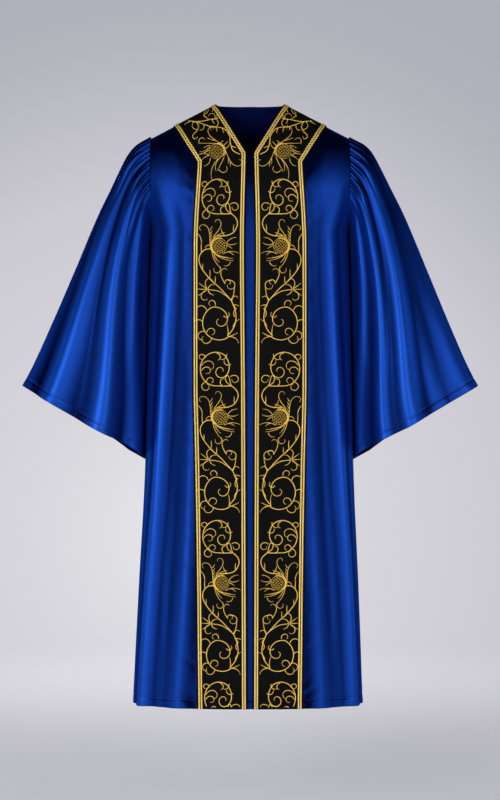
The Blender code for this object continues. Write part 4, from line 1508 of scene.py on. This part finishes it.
# Name, place, size and power
LIGHTS = (
    ("key", (-1.9, -4.1, 0.0), (1.6, 1.6), 120),
    ("fill", (2.1, -4.0, 0.0), (1.4, 1.8), 80),
    ("side_left", (-4.5, 0.2, 0.0), (1.6, 2.2), 42),
    ("side_right", (4.5, 0.2, 0.0), (1.6, 2.2), 38),
    ("back_left", (-0.9, 4.3, 0.2), (1.4, 1.6), 90),
    ("back_right", (1.6, 4.1, 0.1), (1.2, 1.8), 40),
)
WORLD_COLOUR = (0.80, 0.82, 0.90, 1.0)
WORLD_STRENGTH = 0.045
FLOOR_FADE = (0.35, 0.98)  # shares of the radius between which the floor fades out
GLOW_AT = (-0.6, DOME_RADIUS, -1.2)
GLOW_REACH = 5.2
# The surround's painted pool of light, from its brightest place outward
SURROUND_PAINTED_GLOW = (
    (0.0, (0.80, 0.79, 0.83)),
    (0.29, (0.68, 0.67, 0.71)),
    (0.60, (0.60, 0.59, 0.64)),
    (0.86, (0.455, 0.455, 0.51)),
    (1.0, (0.43, 0.43, 0.49)),
)


def add_to_scene(name, data, place, turned):
    thing = bpy.data.objects.new(name, data)
    thing.location = place
    thing.rotation_euler = turned
    bpy.context.scene.collection.objects.link(thing)
    return thing


def make_camera():
    data = bpy.data.cameras.new("camera")
    data.sensor_width = SENSOR
    data.lens = SENSOR * -CAMERA_AT[1] / PHOTO_HEIGHT
    data.clip_end = CAMERA_SEES
    bpy.context.scene.camera = add_to_scene("camera", data, CAMERA_AT, (math.pi / 2, 0, 0))


def make_lights():
    """Soft rectangular lights that face the robe's middle."""
    for name, place, size, power in LIGHTS:
        data = bpy.data.lights.new(name, "AREA")
        data.shape = "RECTANGLE"
        data.size, data.size_y = size
        data.energy = power
        away = np.array(ROBE_MIDDLE) - np.array(place)
        tilt = math.acos(-away[2] / np.linalg.norm(away))
        add_to_scene(name, data, place, (tilt, 0, math.atan2(away[1], away[0]) - math.pi / 2))


def make_world():
    world = bpy.data.worlds.new("studio")
    world.use_nodes = True
    background = world.node_tree.nodes["Background"]
    background.inputs["Color"].default_value = WORLD_COLOUR
    background.inputs["Strength"].default_value = WORLD_STRENGTH
    bpy.context.scene.world = world


def make_floor():
    """A pale floor whose rim fades out."""
    bpy.ops.mesh.primitive_circle_add(
        vertices=96, radius=FLOOR_RADIUS, fill_type="NGON", location=(0, 0, FLOOR_Z)
    )
    floor = bpy.context.object
    floor.name = "floor"
    build = Nodes("pale_floor")
    place = build.add("ShaderNodeTexCoord").outputs["Object"]
    away = build.add("ShaderNodeVectorMath", {"operation": "LENGTH"}, Vector=place).outputs["Value"]
    fade = build.add(
        "ShaderNodeMapRange",
        {"interpolation_type": "SMOOTHSTEP"},
        Value=away,
        From_Min=FLOOR_RADIUS * FLOOR_FADE[0],
        From_Max=FLOOR_RADIUS * FLOOR_FADE[1],
        To_Min=1.0,
        To_Max=0.0,
    )
    build.finish(
        Base_Color=(0.60, 0.60, 0.64, 1.0),
        Roughness=0.85,
        Specular_IOR_Level=0.1,
        Emission_Color=(0.50, 0.50, 0.54, 1.0),
        Emission_Strength=0.2,
        Alpha=fade.outputs["Result"],
    )
    floor.data.materials.append(build.material)
    return floor


def make_surround():
    """A pale surround that glows, with a painted pool of light brightest low down behind the robe. It
    lights nothing.
    """
    bpy.ops.mesh.primitive_uv_sphere_add(
        segments=96, ring_count=48, radius=DOME_RADIUS, location=(0, 0, CAMERA_AT[2])
    )
    bpy.ops.object.shade_smooth()
    dome = bpy.context.object
    dome.name = "surround"
    build = Nodes("pale_surround")
    place = build.add("ShaderNodeTexCoord").outputs["Object"]
    away = build.combine("DISTANCE", place, GLOW_AT, "ShaderNodeVectorMath")
    # a painted pool of light, brightest at GLOW_AT
    shade = build.ramp(build.combine("DIVIDE", away, GLOW_REACH), SURROUND_PAINTED_GLOW)
    emission = build.add("ShaderNodeEmission", Color=shade, Strength=1.0)
    build.set(build.tree.nodes["Material Output"], "Surface", emission.outputs["Emission"])
    dome.data.materials.append(build.material)
    dome.visible_diffuse = False
    dome.visible_glossy = False
    dome.visible_shadow = False
    return dome


def main():
    materials = make_materials()
    fronts = make_fronts(materials)
    underlap = make_underlap(materials)
    back, back_band = make_back(materials)
    sleeves = make_sleeves(materials)
    braids = make_front_braids(materials)
    back_braids = make_back_braids(materials)
    embroidery = make_embroidery(materials)
    make_stitches(materials)
    make_camera()
    make_lights()
    make_world()
    floor = make_floor()
    dome = make_surround()
    bpy.context.scene.view_settings.view_transform = "Standard"


main()
